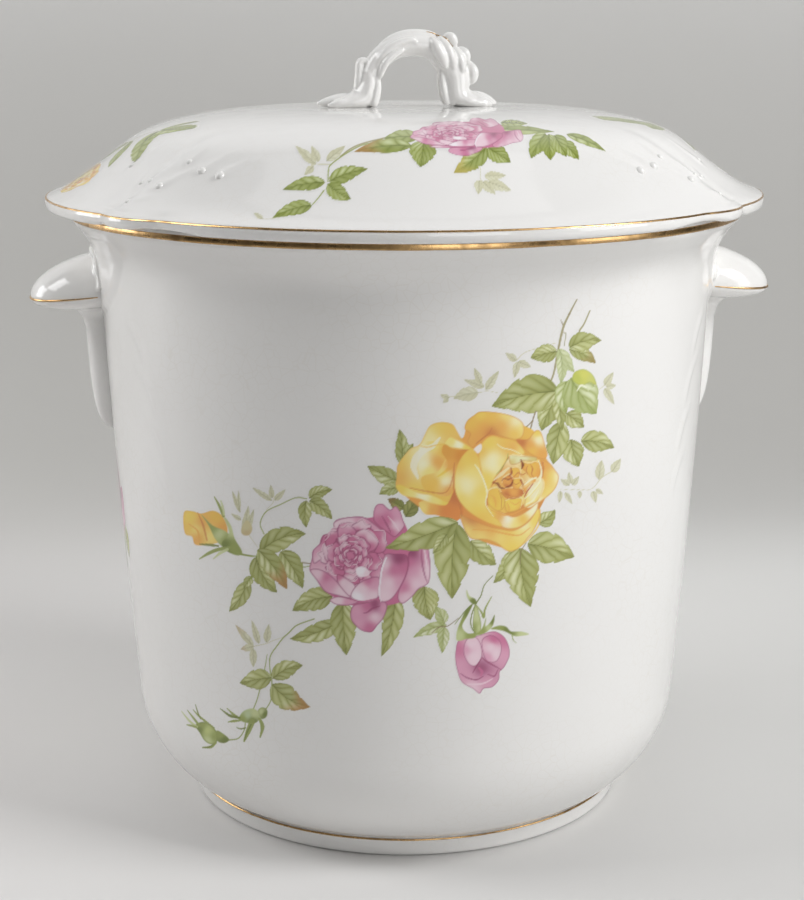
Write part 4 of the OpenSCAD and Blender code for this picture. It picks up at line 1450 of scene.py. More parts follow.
PINK_FRONT = [
    ([(545, 735), (590, 712), (640, 735), (655, 780), (600, 800), (555, 785)],
     {MILK: [(595, 755)], BLUSH: [(630, 770)]}, None),
    ([(165, 745), (240, 735), (330, 780), (400, 850), (470, 930), (500, 975), (380, 950), (290, 920),
      (222, 830)],
     {BLUSH: [(240, 780), (420, 920)], PINK: [(330, 860)], ROSE: [(300, 800)]}, FOLD),
    ([(390, 780), (450, 800), (540, 870), (520, 930), (490, 960), (430, 900), (390, 840)],
     {BLUSH: [(440, 840), (500, 890)], ROSE: [(410, 800)]}, FOLD),
    ([(500, 960), (530, 890), (600, 830), (720, 795), (745, 850), (735, 930), (720, 975), (640, 1003),
      (560, 1000)],
     {BLUSH: [(600, 900), (690, 960)], PINK: [(690, 860)], ROSE: [(650, 830)], MILK: [(560, 960)]}, FOLD),
    ([(745, 760), (780, 620), (860, 610), (960, 620), (978, 690), (960, 780), (900, 900), (850, 970),
      (800, 1002), (750, 1000), (728, 930), (735, 850)],
     {WINE: [(900, 650)], ROSE: [(940, 720), (860, 740)], BLUSH: [(820, 850), (780, 950), (790, 700)],
      PINK: [(900, 840)]}, FOLD),
    ([(795, 640), (760, 730), (745, 830), (735, 930), (750, 1000)], (5, 8, 8, 7, 4), MILK, 0.85),
    ([(500, 985), (600, 1002), (700, 985), (740, 1000)], (4, 7, 7, 4), ROSE, 0.8)]
PINK_ROSE = PINK_BACK + PINK_BOWL + PINK_HEART + PINK_FRONT
print("pink rose", len(PINK_ROSE), "petals and strokes")

# %% [markdown]
# ## The buds
# A pink and a yellow bud hang out of the spray, and two small green ones trail below. They have a few
# petals, and long pointed sepals that are strokes.

# %% Pink bud
SEPAL = "#95a05a"
MOSS = "#74803f"
SAGE = "#c6ce98"
PINK_BUD = [
    ([(980, 180), (890, 280), (850, 400), (800, 480), (745, 620), (740, 740), (790, 830)],
     (5, 5, 6, 7, 6, 6, 6), MOSS, 0.95),
    ([(600, 900), (700, 860), (800, 850), (930, 810), (1010, 800), (1100, 850), (1150, 930), (1170, 1010),
      (1165, 1090), (1110, 1200), (1060, 1250), (1050, 1340), (980, 1420), (880, 1440), (835, 1495),
      (760, 1440), (640, 1370), (590, 1250), (565, 1120), (570, 1000)],
     {ROSE: [(620, 1000), (1080, 900)], PINK: [(600, 1180), (1120, 1080), (700, 1280), (900, 1350)],
      BLUSH: [(750, 950), (950, 1000), (760, 1420)], WINE: [(850, 1220)]}, FOLD),
    ([(660, 960), (700, 880), (790, 860), (850, 950), (860, 1080), (800, 1180), (720, 1170), (660, 1060)],
     {BLUSH: [(740, 950), (770, 1080)], PINK: [(690, 1000)]}, FOLD),
    ([(860, 900), (960, 840), (1060, 900), (1080, 1010), (1030, 1130), (930, 1140), (880, 1060)],
     {BLUSH: [(960, 980), (1020, 1050)], PINK: [(920, 1090)], ROSE: [(1000, 880)]}, FOLD),
    ([(850, 1110), (800, 1190), (760, 1260)], (5, 8, 4), WINE, 0.7),
    ([(860, 1090), (920, 1140), (1010, 1190), (1080, 1230)], (5, 8, 8, 3), WINE, 0.65),
    ([(620, 1270), (700, 1320), (800, 1340), (880, 1300)], (4, 8, 8, 4), WINE, 0.6),
    ([(830, 1210), (860, 1250), (850, 1300)], (12, 18, 8), ROSE, 0.8),
    ([(930, 1280), (1000, 1300), (1040, 1230)], (6, 9, 5), WINE, 0.5),
    ([(690, 1390), (780, 1390), (880, 1380), (980, 1330)], (5, 10, 10, 5), BLUSH, 0.8),
    ([(575, 890), (580, 800), (620, 690), (680, 560), (760, 490), (700, 620), (640, 740), (700, 820),
      (790, 820), (780, 870), (680, 885), (620, 905)],
     {SAGE: [(620, 840)], SEPAL: [(640, 680), (720, 840)], MOSS: [(700, 580)]}, None),
    ([(790, 500), (830, 600), (850, 700), (845, 800), (800, 830), (760, 760), (765, 640)],
     {SAGE: [(800, 640), (830, 760)], SEPAL: [(780, 760)]}, (MOSS, 8, 0.6)),
    ([(780, 840), (860, 770), (910, 640), (900, 740), (960, 690), (1005, 610), (985, 730), (920, 800),
      (850, 835)],
     {SEPAL: [(880, 780)], SAGE: [(930, 760)], MOSS: [(985, 680)]}, None),
    ([(800, 510), (860, 590), (880, 640), (900, 540), (970, 410)], (6, 12, 14, 10, 5), SEPAL, 0.95),
    ([(960, 770), (1050, 735), (1130, 745), (1190, 800), (1300, 800), (1390, 830), (1300, 850),
      (1220, 850), (1120, 800), (1030, 780)],
     {SEPAL: [(1060, 755)], MOSS: [(1150, 790)], SAGE: [(1330, 830)]}, None),
    ([(1200, 850), (1215, 900), (1250, 930)], (6, 6, 3), SEPAL, 0.9),
    ([(690, 330), (720, 400), (790, 440), (790, 500), (730, 470), (690, 400)],
     {SAGE: [(720, 400)], MOSS: [(770, 460)]}, None),
    ([(560, 715), (620, 640), (680, 560), (760, 490)], (4, 5, 5, 4), MOSS, 0.8)]
print("pink bud", len(PINK_BUD), "petals and strokes")

# %% Yellow bud and trailing buds
YELLOW_BUD = [
    ([(75, 230), (120, 222), (170, 235), (230, 220), (280, 245), (310, 310), (300, 370), (230, 400),
      (140, 405), (120, 360), (80, 340)],
     {YELLOW: [(110, 260)], AMBER: [(100, 310), (250, 250)], ORANGE: [(150, 370), (170, 280), (280, 320)],
      LEMON: [(220, 360), (140, 320)]}, (ORANGE, 5, 0.4)),
    ([(150, 230), (180, 300), (200, 380)], (2, 6, 4), RUST, 0.6),
    ([(100, 290), (150, 330), (160, 395)], (2, 5, 4), ORANGE, 0.8),
    ([(170, 240), (230, 300), (300, 330), (340, 380), (300, 420), (250, 380), (210, 300)],
     {SEPAL: [(230, 310), (300, 380)], SAGE: [(270, 350)]}, None),
    ([(290, 250), (330, 300), (350, 370), (390, 440), (370, 462), (310, 440), (280, 395), (320, 340)],
     {SAGE: [(330, 330)], SEPAL: [(340, 420)], MOSS: [(300, 410)]}, None),
    ([(240, 145), (265, 190), (290, 250)], (3, 7, 7), SEPAL, 0.95),
    ([(275, 165), (285, 200), (292, 240)], (3, 6, 6), SAGE, 0.9),
    ([(160, 480), (210, 450), (260, 430), (320, 420)], (3, 9, 10, 8), SEPAL, 0.95),
    ([(235, 480), (270, 450), (310, 430)], (3, 8, 8), SAGE, 0.9),
    ([(160, 400), (210, 405), (260, 410)], (2, 7, 6), MOSS, 0.8),
    ([(370, 450), (420, 462), (470, 466)], (7, 5, 4), SEPAL, 0.95)]
TRAIL_BUDS = [
    ([(810, 790), (850, 760), (890, 785), (885, 840), (840, 860)],
     {SAGE: [(840, 800)], MOSS: [(870, 820)]}, (MOSS, 8, 0.6)),
    ([(650, 840), (690, 790), (760, 770), (810, 795), (825, 850), (790, 895), (710, 895), (660, 875)],
     {"#bccaa0": [(720, 830)], SAGE: [(780, 820)], MOSS: [(760, 880)],
      SEPAL: [(680, 860)]}, None),
    ([(665, 865), (600, 825), (540, 768)], (10, 11, 3), SEPAL, 0.95),
    ([(650, 850), (570, 835), (480, 770)], (9, 12, 3), MOSS, 0.9),
    ([(655, 875), (600, 880), (550, 888)], (8, 12, 4), SEPAL, 0.95),
    ([(760, 885), (725, 970), (690, 1055)], (26, 22, 8), SEPAL, 0.95),
    ([(750, 910), (715, 980), (692, 1045)], (5, 6, 3), MOSS, 0.9),
    ([(825, 860), (850, 930), (830, 1020)], (12, 18, 6), SEPAL, 0.95),
    ([(700, 940), (660, 948), (622, 935)], (6, 6, 3), MOSS, 0.9),
    ([(265, 920), (310, 890), (370, 895), (430, 945), (462, 1000), (450, 1065), (400, 1082), (345, 1050),
      (305, 985)],
     {SEPAL: [(320, 920), (430, 1020)], "#c0c983": [(370, 960)], SAGE: [(380, 1050)],
      MOSS: [(300, 950)]}, (MOSS, 9, 0.7)),
    ([(450, 965), (500, 985), (560, 1040), (515, 1072), (455, 1050)],
     {SEPAL: [(490, 1000)], MOSS: [(520, 1050)]}, None),
    ([(430, 940), (350, 880), (290, 830), (245, 780)], (5, 9, 8, 3), SEPAL, 0.95),
    ([(300, 920), (250, 855), (195, 785)], (10, 9, 3), SEPAL, 0.95),
    ([(280, 930), (215, 880), (145, 795)], (9, 9, 3), SAGE, 0.95),
    ([(275, 935), (230, 920), (190, 912)], (8, 10, 4), SEPAL, 0.9),
    ([(310, 860), (285, 800), (265, 735)], (4, 6, 3), MOSS, 0.8),
    ([(445, 1070), (400, 1105), (330, 1110)], (8, 13, 6), SEPAL, 0.95),
    ([(420, 1085), (380, 1108), (330, 1112)], (3, 5, 3), MOSS, 0.9)]

# %% [markdown]
# ## Leaves, stems and pale sprigs
# The leaves are listed with base, tip and half width, and where they need it the bow of the rib, which
# half is lit and a blush at the tip. Pale sprigs in the background of the print stand for distance and
# are the same leaves in a washed tone. Each drawing has a corner in the picture and a scale.

# %% Leaves and stems of a spray
STEM = "#a09a72"
STEM_DARK = "#8a7a5a"
STEM_PALE = "#cbc8a8"
RUSSET = "#b9814f"


def leaves(sheet, frame, rows, tone=LEAF_GREEN, strength=1.0):
    for base, tip, wide, *rest in rows:
        leaf(sheet, moved(base, frame), moved(tip, frame), wide * frame[2], *rest,
             tone=tone, strength=strength)


def stems(sheet, frame, rows):
    for points, *brush in rows:
        stroke(sheet, moved(points, frame), *brush)


def pale_sprig(sheet, frame, stem, rows):
    stroke(sheet, moved(stem, frame), (0.25, 0.4), STEM_PALE, 0.9, soft=0.4)
    leaves(sheet, frame, rows, LEAF_PALE, 0.95)


AT_YELLOW = (385, 400, 1 / 7.295, 1 / 7.295)
AT_PINK = (290, 480, 1 / 8.25, 1 / 8.25)
AT_LEFT = (170, 470, 1 / 5.406, 1 / 5.406)
AT_TOP = (430, 290, 1 / 6.817, 1 / 6.817)
AT_BUD = (405, 560, 1 / 11.2, 1 / 11.2)
AT_TRAIL = (165, 620, 1 / 8.711, 1 / 8.711)
print("the yellow rose starts at", moved(YELLOW_UNDER[0][0][0], AT_YELLOW).round(1))


# %% The left half of the wall spray
def small_spray(sheet):
    pale_sprig(sheet, AT_LEFT, [(520, 215), (555, 180), (560, 140)], [
        ((550, 165), (445, 95), 16), ((552, 150), (545, 80), 15), ((565, 165), (625, 105), 16)])
    pale_sprig(sheet, AT_LEFT, [(480, 425), (440, 370), (410, 320)], [
        ((400, 350), (425, 190), 20), ((410, 345), (455, 210), 16), ((380, 230), (335, 110), 12),
        ((375, 220), (370, 110), 10), ((385, 270), (330, 235), 12)])
    flower(sheet, AT_LEFT, [
        ([(385, 320), (415, 270), (445, 310), (430, 350), (395, 350)],
         {"#cfc79c": [(415, 310)], "#c7b58c": [(420, 340)]}, None)])
    pale_sprig(sheet, AT_TRAIL, [(1030, 150), (940, 180), (880, 205), (770, 230)], [
        ((770, 225), (612, 40), 30, 0, 1, "#c3b190"), ((820, 205), (755, 0), 28),
        ((885, 195), (905, 35), 32), ((775, 228), (660, 255), 34, 0, 1, "#c3b190"),
        ((768, 250), (770, 412), 34)])
    leaves(sheet, AT_PINK, [
        ((350, 960), (20, 1080), 100, 0.08), ((400, 1170), (0, 1310), 84, -0.06, -1),
        ((440, 1010), (467, 1445), 116, 0.02, -1), ((870, 960), (755, 1455), 88, -0.05, -1),
        ((1110, 880), (1160, 1155), 116, 0.04, -1)])
    stems(sheet, AT_PINK, [
        ([(30, 690), (90, 680), (180, 690)], (0.4, 0.5, 0.5), STEM_DARK),
        ([(40, 710), (100, 720), (180, 705)], (0.4, 0.4, 0.4), SEPAL)])
    leaves(sheet, AT_PINK, [
        ((160, 150), (350, 80), 58, -0.1, -1), ((160, 170), (350, 325), 62, -0.06),
        ((135, 170), (135, 395), 56, 0.05, -1)])
    stems(sheet, AT_LEFT, [
        ([(740, 155), (680, 150), (600, 185), (520, 225), (488, 290), (508, 345)],
         (0.5, 0.5, 0.5, 0.5, 0.5), SEPAL)])
    leaves(sheet, AT_LEFT, [
        ((600, 440), (718, 640), 62, -0.04), ((490, 440), (735, 345), 66, -0.1),
        ((465, 470), (580, 662), 60, 0.08, -1), ((475, 430), (632, 645), 58, -0.05, 1, RUSSET)])
    leaves(sheet, AT_LEFT, [((420, 600), (320, 765), 46, -0.06), ((440, 575), (400, 640), 26, 0, -1)])
    stems(sheet, AT_LEFT, [
        ([(455, 570), (430, 590), (410, 620)], (0.5, 0.7, 0.4), SEPAL)])
    flower(sheet, AT_LEFT, YELLOW_BUD)
    stems(sheet, AT_TRAIL, [
        ([(1300, -10), (1150, 45), (1080, 110), (1030, 155), (980, 220), (920, 310), (912, 400),
          (930, 520), (930, 600), (925, 690), (890, 760), (850, 800)],
         (0.55, 0.6, 0.55, 0.5, 0.5), SEPAL),
        ([(890, 300), (870, 420), (825, 610), (800, 700), (760, 800)], (0.3, 0.5, 0.5, 0.5), SEPAL),
        ([(700, 900), (690, 960), (640, 1030), (560, 1045)], (0.5, 0.5, 0.6), SEPAL)])
    leaves(sheet, AT_TRAIL, [
        ((930, 500), (650, 550), 88, 0.02), ((940, 510), (1200, 395), 84, -0.1, -1),
        ((935, 560), (1265, 757), 104, 0.1, 1, RUSSET)])
    flower(sheet, AT_TRAIL, TRAIL_BUDS)


# %% The whole wall spray
def rose_spray(sheet):
    pale_sprig(sheet, AT_TOP, [(460, 700), (380, 690), (250, 720), (120, 730)], [
        ((380, 680), (470, 550), 28), ((370, 660), (230, 610), 26), ((350, 640), (300, 530), 24),
        ((330, 700), (160, 740), 48, 0.05), ((130, 735), (70, 715), 18), ((120, 740), (90, 770), 16)])
    pale_sprig(sheet, AT_TOP, [(860, 360), (720, 400), (640, 430), (590, 480)], [
        ((590, 480), (515, 430), 24), ((600, 490), (690, 525), 26), ((595, 490), (575, 600), 24)])
    pale_sprig(sheet, AT_TOP, [(1150, 680), (1190, 650), (1215, 640)], [
        ((1190, 650), (1250, 560), 26), ((1200, 660), (1268, 650), 20), ((1190, 670), (1255, 780), 26)])
    pale_sprig(sheet, AT_TOP, [(890, 1360), (990, 1360), (1100, 1355), (1170, 1280), (1250, 1230)], [
        ((950, 1330), (890, 1290), 20), ((960, 1320), (945, 1240), 20), ((970, 1330), (1015, 1270), 20),
        ((920, 1380), (970, 1460), 18), ((890, 1370), (880, 1450), 18), ((1020, 1370), (1020, 1420), 16),
        ((1110, 1370), (1130, 1450), 22), ((1150, 1290), (1170, 1160), 34),
        ((1240, 1240), (1300, 1150), 30), ((1130, 1360), (1180, 1390), 16)])
    stems(sheet, AT_TOP, [
        ([(1000, 65), (950, 160), (905, 260), (870, 420), (845, 560), (815, 640)],
         (0.5, 0.8, 0.9, 0.9, 0.8), STEM),
        ([(1002, 65), (955, 160), (912, 260), (880, 400)], (0.25, 0.3, 0.3), STEM_DARK, 0.7),
        ([(1090, 140), (1050, 230), (1018, 280), (1022, 320)], (0.6, 0.8, 0.7), STEM),
        ([(905, 235), (890, 200)], (0.6, 0.15), STEM_DARK),
        ([(945, 165), (965, 165)], (0.6, 0.15), STEM_DARK),
        ([(905, 290), (925, 300), (915, 380)], (0.4, 0.5, 0.3), STEM),
        ([(735, 790), (705, 870), (680, 970)], (0.5, 0.6, 0.6), STEM_DARK),
        ([(700, 890), (660, 930), (625, 950)], (0.5, 0.5, 0.4), STEM_DARK)])
    leaves(sheet, AT_TOP, [
        ((880, 400), (985, 560), 46, 0.05, -1), ((890, 440), (890, 640), 40, -0.05),
        ((800, 660), (665, 600), 36, -0.06)], ("#a9b47c", "#c3cb98", "#dde2bf"))
    leaves(sheet, AT_TOP, [
        ((950, 405), (1130, 500), 52, -0.08, -1, "#a08a52"), ((950, 395), (1168, 345), 66, -0.1),
        ((865, 420), (685, 465), 66, 0.04), ((1030, 1030), (1255, 1075), 76, -0.08, -1),
        ((930, 840), (1050, 935), 62), ((960, 1020), (1015, 1205), 78, 0.05),
        ((900, 900), (840, 1190), 80, 0.02, -1), ((880, 720), (760, 960), 84, 0.06),
        ((870, 700), (900, 960), 50), ((875, 690), (420, 795), 128, 0.05, -1)])
    leaves(sheet, AT_TOP, [
        ((930, 620), (930, 840), 62, 0.1),
        ((960, 600), (1135, 845), 128, 0.03, -1)], ("#8b9a4c", "#b3bd7c", "#e0e5c4"))
    flower(sheet, AT_TOP, [
        ([(970, 610), (985, 560), (1050, 540), (1110, 580), (1135, 650), (1090, 630), (1040, 650),
          (1000, 640)],
         {"#d0d068": [(1050, 580)], "#bcc35c": [(1000, 600)],
          "#c9cc70": [(1100, 610)]}, ("#96a055", 6, 0.5)),
        ([(1000, 690), (1030, 650), (1065, 665)], (3, 8, 4), "#eef0da", 0.9)])
    leaves(sheet, AT_YELLOW, [
        ((120, 470), (105, 212), 56, 0.05), ((140, 400), (205, 320), 34, 0, -1),
        ((110, 600), (-130, 480), 66, -0.02, -1), ((110, 640), (-40, 690), 52, 0.1)])
    leaves(sheet, AT_YELLOW, [
        ((140, 790), (20, 720), 46, 0, -1, "#8a6b45"),
        ((150, 850), (245, 700), 54, 0, -1, "#8a7a45")], ("#6d7238", "#87894a", "#a9aa66"))
    leaves(sheet, AT_YELLOW, [
        ((1120, 900), (1240, 800), 56, 0.08, -1), ((960, 1090), (790, 1335), 66, -0.06),
        ((1040, 1050), (1382, 1145), 118, -0.04, -1), ((985, 1080), (1062, 1510), 128, 0.05),
        ((620, 1030), (812, 1200), 86, 0.04, -1)])
    stems(sheet, AT_YELLOW, [
        ([(1030, 1040), (990, 1110), (985, 1200)], (0.4, 0.5, 0.3), STEM_DARK, 0.8)])
    small_spray(sheet)
    leaves(sheet, AT_PINK, [
        ((1290, 1195), (1015, 1300), 46, 0.05, -1), ((1270, 1210), (1255, 1430), 50, 0, -1),
        ((1275, 1185), (1200, 1045), 54, 0.05)], ("#95a05a", "#bcc48a", "#e2e4cc"))
    stems(sheet, AT_PINK, [
        ([(1170, 1260), (1230, 1215), (1300, 1205), (1390, 1140)], (0.3, 0.4, 0.4, 0.3), STEM_DARK)])
    flower(sheet, AT_BUD, PINK_BUD)
    flower(sheet, AT_PINK, PINK_ROSE)
    flower(sheet, AT_YELLOW, YELLOW_ROSE)
    leaves(sheet, AT_YELLOW, [((520, 900), (490, 1452), 140, 0.03), ((530, 890), (0, 1080), 104, -0.02),
                              ((450, 980), (350, 1120), 46)])


# %% [markdown]
# ## The spray on the lid
# A pink rose lies on the front of the crown with a sprig that trails to the lip. Yellow roses sit low
# on the skirt at the sides and a pink one at the back. Those are drawn as if the lid were turned to
# face the camera, with their leaves given by radius and degrees.

# %% Spray on the crown
AT_LID = (340, 105, 1 / 5.6, 1 / 5.6)
AT_SPRIG = (240, 135, 1 / 11.2, 1 / 11.2)
LID_ROSE = (392, 110.8, 0.113, 0.036)
SKIRT_ROSE = (366, 183, 0.12, 0.036)


def lid_spot(r, degrees):
    return in_photo(turned_points(math.radians(degrees), r, lid_top_at(r)))


def lid_spray(sheet):
    pale_sprig(sheet, AT_LID, [(760, 300), (785, 350), (790, 420), (830, 440)], [
        ((780, 420), (775, 500), 26), ((800, 430), (870, 500), 28), ((830, 430), (960, 480), 30),
        ((810, 400), (930, 395), 26)])
    pale_sprig(sheet, AT_SPRIG, [(1010, 330), (900, 330), (800, 340)], [
        ((850, 330), (620, 120), 50), ((880, 300), (800, 120), 45), ((970, 290), (1180, 120), 50),
        ((820, 350), (720, 450), 40)])
    pale_sprig(sheet, AT_SPRIG, [(430, 930), (250, 950), (20, 980)], [
        ((250, 950), (140, 870), 26), ((150, 960), (10, 1000), 24)])
    stems(sheet, AT_LID, [([(0, 290), (60, 245), (130, 215), (250, 185)], (0.6, 0.7, 0.7), STEM)])
    stems(sheet, AT_SPRIG, [
        ([(1568, 80), (1380, 110), (1200, 200), (1020, 330), (990, 400), (985, 520)],
         (0.5, 0.6, 0.6, 0.6), SEPAL),
        ([(940, 620), (880, 700), (810, 780)], (0.6, 0.5), SEPAL)])
    leaves(sheet, AT_SPRIG, [
        ((1000, 520), (1430, 380), 90, -0.05, -1), ((950, 530), (470, 620), 78, 0.05),
        ((980, 550), (1240, 720), 100, 0.05), ((800, 790), (360, 930), 84, 0.06)], LEAF_FRESH)
    leaves(sheet, AT_LID, [
        ((1250, 205), (1340, 305), 40), ((1270, 165), (1490, 260), 24, -0.04),
        ((800, 130), (1200, 150), 28), ((900, 100), (1050, 105), 20),
        ((1150, 160), (1070, 300), 50, 0.05), ((1170, 165), (1180, 310), 54, 0, -1),
        ((1200, 170), (1270, 290), 46), ((830, 240), (955, 320), 54),
        ((820, 235), (635, 382), 60, -0.04, 1, "#c9b25c"), ((470, 200), (450, 350), 74),
        ((440, 180), (245, 188), 38, 0.04), ((400, 230), (80, 262), 40, 0.05, 1, RUSSET)], LEAF_FRESH)
    flower(sheet, LID_ROSE, PINK_ROSE)


# %% Sprays on the skirt
SKIRT_STEMS = [[(140, -92), (126, -90), (112, -83), (104, -78)],
               [(136, -96), (122, -102), (110, -108), (98, -118)]]
SKIRT_LEAVES = [((108, -79), (124, -68), 9), ((106, -78), (100, -66), 7), ((104, -79), (92, -74), 7),
                ((126, -92), (116, -86), 8), ((116, -85), (128, -78), 8), ((136, -97), (132, -113), 10),
                ((124, -101), (116, -96), 7), ((116, -105), (122, -117), 7), ((108, -109), (101, -103), 6),
                ((104, -113), (106, -124), 6), ((98, -118), (90, -133), 7)]


def skirt_spray(sheet, rose):
    for run in SKIRT_STEMS:
        stroke(sheet, [lid_spot(*p) for p in run], (0.7, 0.6, 0.4), STEM)
    for base, tip, wide in SKIRT_LEAVES:
        leaf(sheet, lid_spot(*base), lid_spot(*tip), wide, tone=LEAF_FRESH)
    flower(sheet, SKIRT_ROSE, rose)


print("a skirt spray has", len(SKIRT_LEAVES), "leaves")

# %% [markdown]
# ## Printed sheets
# A print needs finer points than the glaze below it. So each spray is its own thin film on a grid of
# small cells that follows the same turned surface, kept only where there is paint, and closed with a
# back and sides sunk in the glaze. The paint is an attribute of its points.

# %% Fired print
PRINT_LIFT = 0.05
PRINT_SINK = 0.3
fired_print, tree, shader = glaze_material("fired_enamel_print")
paint = add_node(tree, "ShaderNodeAttribute", {"attribute_name": "print"})
shown = add_node(tree, "ShaderNodeMapRange", inputs={"Value": paint.outputs["Alpha"], "From Max": 0.3})
mixed = add_node(tree, "ShaderNodeMix", {"data_type": "RGBA"}, {
    "Factor": shown.outputs["Result"], 6: glaze_colour(tree), 7: paint.outputs["Color"]})
tree.links.new(mixed.outputs[2], shader.inputs["Base Color"])
print("print", len(tree.nodes), "nodes")


# %% Films
def kept_cells(cover):
    """Cells with paint at a corner, without pairs that touch at a corner only."""
    wet = cover > 0.01
    cells = wet[1:, 1:] | wet[1:, :-1] | wet[:-1, 1:] | wet[:-1, :-1]
    cells[0] = cells[-1] = cells[:, 0] = cells[:, -1] = False
    while True:
        a, b, c, d = cells[:-1, :-1], cells[:-1, 1:], cells[1:, :-1], cells[1:, 1:]
        rising = a & d & ~b & ~c
        falling = b & c & ~a & ~d
        if not (rising | falling).any():
            return cells
        cells[:-1, 1:] |= rising
        cells[:-1, :-1] |= falling


def film(name, top, back, cells, colours, body):
    """A closed film over the kept cells of a grid."""
    rows, columns = top.shape[:2]
    i, j = np.nonzero(cells)
    first = i * columns + j
    corner = np.stack([first, first + 1, first + columns + 1, first + columns], 1)
    edges = np.concatenate([corner[:, [k, (k + 1) % 4]] for k in range(4)])
    code = edges[:, 0] * rows * columns + edges[:, 1]
    border = edges[~np.isin(code, edges[:, 1] * rows * columns + edges[:, 0])]
    used, number = np.unique(corner, return_inverse=True)
    number = number.reshape(-1, 4)
    count = len(used)
    rim_a = np.searchsorted(used, border[:, 0])
    rim_b = np.searchsorted(used, border[:, 1])
    sides = np.stack([rim_b, rim_a, rim_a + count, rim_b + count], 1)
    faces = np.concatenate([number, number[:, ::-1] + count, sides])
    points = np.concatenate([top.reshape(-1, 3)[used], back.reshape(-1, 3)[used]])
    piece = mesh_object(name, points, faces.tolist(), fired_print)
    mesh = piece.data
    mesh.polygons.foreach_set("use_smooth", np.arange(len(faces)) < len(number))
    paint = np.tile(colours.reshape(-1, 4)[used], (2, 1))
    mesh.attributes.new("print", "FLOAT_COLOR", "POINT").data.foreach_set("color", paint.ravel())
    flat = np.stack([used % columns / columns, used // columns / rows], 1)
    corners = np.where(faces < count, faces, 0)
    corners[len(number):] = 0
    mesh.uv_layers.new(name="OFBake").data.foreach_set("uv", flat[corners.ravel()].ravel())
    facing = np.cross(np.gradient(top, axis=1), np.gradient(top, axis=0)).reshape(-1, 3)[used]
    facing = facing / np.linalg.norm(facing, axis=1)[:, None]
    mesh.normals_split_custom_set_from_vertices(np.concatenate([facing, -facing]).tolist())
    place(piece, body, "glaze")


# %% Laying a spray on a turned surface
def printed(name, path, degrees, cell, turn, shape, brush, body, pieces):
    """Paints a spray between two angles of a turned surface and lays it on as films."""
    path = evenly(np.asarray(path, float), cell[1])
    slope = np.gradient(path, axis=0)
    normal = np.stack([slope[:, 1], -slope[:, 0]], 1) / np.linalg.norm(slope, axis=1)[:, None]
    reach = path[:, 0].max()
    seen = np.radians(np.arange(degrees[0], degrees[1], math.degrees(cell[0] / reach)))
    theta = seen + math.radians(turn)
    grid = swung(shape, path, theta)
    outward = swung(turned_points, normal, theta)
    faced = swung(turned_points, path, seen)
    sheet = new_sheet(in_photo(faced.reshape(-1, 3)))
    brush(sheet)
    colours = np.concatenate([to_linear(np.clip(sheet["rgb"], 0, 1)), sheet["cover"][:, None]], 1)
    cells = kept_cells(sheet["cover"].reshape(grid.shape[:2]))
    share = np.cumsum(cells.sum(0)) / cells.sum()
    top = grid + PRINT_LIFT * outward
    back = grid - PRINT_SINK * outward
    for n in range(pieces):
        part = cells & (share > n / pieces) & (share <= (n + 1) / pieces + 1e-9)
        film("%s_%d" % (name, n + 1), top, back, part, colours, body)


# %% Sprays on the jar and the lid
PRINT_LOW = 25
PRINT_HIGH = NECK_Z + 4
PRINT_CROWN_R = 25


def left_spray(sheet):
    small_spray(sheet)
    flower(sheet, AT_PINK, PINK_ROSE)


wall_path = outside[::-1]
wall_path = wall_path[(wall_path[:, 1] > PRINT_LOW) & (wall_path[:, 1] < PRINT_HIGH)]
lid_path = np.concatenate([[[PRINT_CROWN_R, CROWN_Z]], lid_top])[::-1]
printed("front_spray", wall_path, (-152, -38), (0.4, 0.4), 0, jar_shape, rose_spray, "jar", 3)
printed("back_spray", wall_path, (-152, -38), (0.5, 0.5), 170, jar_shape, rose_spray, "jar", 2)
printed("left_spray", wall_path, (-156, -80), (0.45, 0.45), -76.5, jar_shape, left_spray, "jar", 1)
printed("lid_spray", lid_path, (-150, -10), (0.4, 0.7), 0, lid_shape, lid_spray, "lid", 1)
for name, turn, rose in (("left", -87, YELLOW_ROSE), ("right", 100, YELLOW_ROSE), ("back", 185, PINK_ROSE)):
    printed("lid_%s_spray" % name, lid_path, (-140, -40), (0.5, 0.7), turn, lid_shape,
            lambda sheet, rose=rose: skirt_spray(sheet, rose), "lid", 1)

# %% [markdown]
# ## Floor, light and room
# The jar stands on a seamless sweep of pale paper, which bends up into the wall behind it. Its tone is
# painted light and shade, as the photographer's light fell: it changes slowly from side to side, is
# darker towards the front and on the wall behind, and lighter higher up. Seen from behind, the paper is
# clear, so that a look at the back of the jar isn't blocked.

# %% Paper sweep
SWEEP_NEAR = -2000
SWEEP_BACK = 420
SWEEP_BEND = 300
SWEEP_TOP = 1800
SWEEP_HALF = 2500
# Painted light and shade on the paper, darker at the front and on the wall behind and lighter high up:
# along an axis, between two places in metres, the tone runs from one shade to the next.
PAPER_LIGHT_FALL = [("X", -0.4, 0.4, "#dad8d7", "#d6d6d4"), ("Y", 0.0, -0.35, "", "#cbcac9"),
         ("Y", 0.25, 0.56, "", "#b9b8b5"), ("Z", 0.1, 0.75, "", "#ececec")]
paper_grey = bpy.data.materials.new("matt_paper_sweep")
paper_grey.use_nodes = True
tree = paper_grey.node_tree
shader = tree.nodes["Principled BSDF"]
shader.inputs["Roughness"].default_value = 0.9
where = add_node(tree, "ShaderNodeTexCoord").outputs["Object"]
split = add_node(tree, "ShaderNodeSeparateXYZ", inputs={"Vector": where})
paper = None
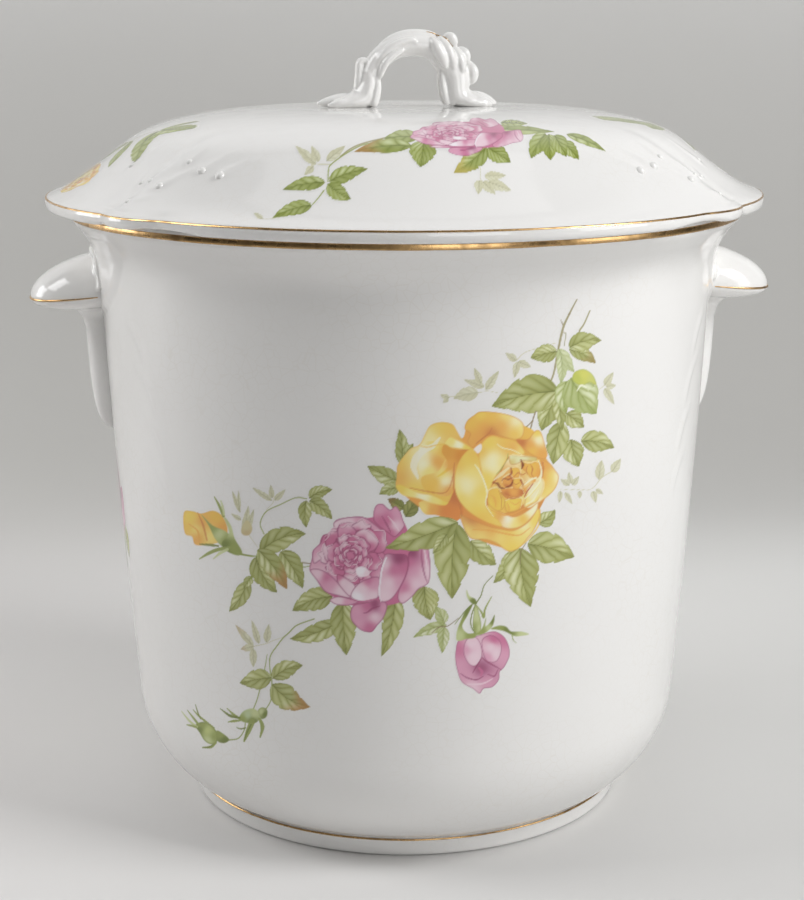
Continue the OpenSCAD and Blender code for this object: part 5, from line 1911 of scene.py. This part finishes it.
# Each run mixes in more painted light or shade.
for side, low, high, before, after in PAPER_LIGHT_FALL:
    run = add_node(tree, "ShaderNodeMapRange", {"interpolation_type": "SMOOTHSTEP"}, {
        "Value": split.outputs[side], "From Min": low, "From Max": high})
    mix = add_node(tree, "ShaderNodeMix", {"data_type": "RGBA"}, {
        "Factor": run.outputs["Result"], 6: paper or linear(before), 7: linear(after)})
    paper = mix.outputs[2]
tree.links.new(paper, shader.inputs["Base Color"])
behind = add_node(tree, "ShaderNodeNewGeometry").outputs["Backfacing"]
clear = add_node(tree, "ShaderNodeBsdfTransparent")
one_way = add_node(tree, "ShaderNodeMixShader", inputs={
    0: behind, 1: shader.outputs["BSDF"], 2: clear.outputs["BSDF"]})
tree.links.new(one_way.outputs["Shader"], tree.nodes["Material Output"].inputs["Surface"])
bend = arc([SWEEP_BACK, SWEEP_BEND], SWEEP_BEND, -90, 0, 16)
sweep_path = np.concatenate([[[SWEEP_NEAR, 0]], bend, [[SWEEP_BACK + SWEEP_BEND, SWEEP_TOP]]])
sweep_points = np.concatenate([[[-SWEEP_HALF, y, z], [SWEEP_HALF, y, z]] for y, z in sweep_path])
sweep_faces = [[2 * i, 2 * i + 1, 2 * i + 3, 2 * i + 2] for i in range(len(sweep_path) - 1)]
sweep = mesh_object("paper_sweep", sweep_points, sweep_faces, paper_grey)
print("sweep", len(sweep_faces), "faces")

# %% [markdown]
# Six soft boxes stand round the jar: a high and a low one on the right, two on the left whose
# reflections make the upright windows in the glaze, a fill in front and one on top for the lid.

# %% Lamps
LAMP_FAR = 1.4
AIM_Z = 0.16
# A lamp has a turn and a height in degrees, a width and a height in metres, and a power in watts.
LAMPS = [("key_right", 60, 40, 0.6, 0.6, 12.0), ("key_low", 60, 12, 0.6, 0.6, 3.4),
         ("window_left", -90, 40, 0.6, 0.6, 6.6), ("window_back", -116, 14, 0.8, 0.6, 8.0),
         ("front_fill", 12, 10, 0.6, 0.6, 3.3), ("top", 0, 89, 1.2, 1.2, 2.8)]
for name, azimuth, height, wide, tall, power in LAMPS:
    light = bpy.data.lights.new(name, "AREA")
    light.shape = "RECTANGLE"
    light.size = wide
    light.size_y = tall
    light.energy = power
    a = math.radians(azimuth)
    up = math.radians(height)
    aside = LAMP_FAR * math.cos(up)
    where = Vector((aside * math.sin(a), -aside * math.cos(a), AIM_Z + LAMP_FAR * math.sin(up)))
    lamp = bpy.data.objects.new(name, light)
    lamp.location = where
    lamp.rotation_euler = (Vector((0, 0, AIM_Z)) - where).to_track_quat("-Z", "Y").to_euler()
    bpy.context.scene.collection.objects.link(lamp)
world = bpy.data.worlds.new("room")
world.use_nodes = True
world.node_tree.nodes["Background"].inputs["Color"].default_value = linear("#c8c8c8")
world.node_tree.nodes["Background"].inputs["Strength"].default_value = 0.04
bpy.context.scene.world = world
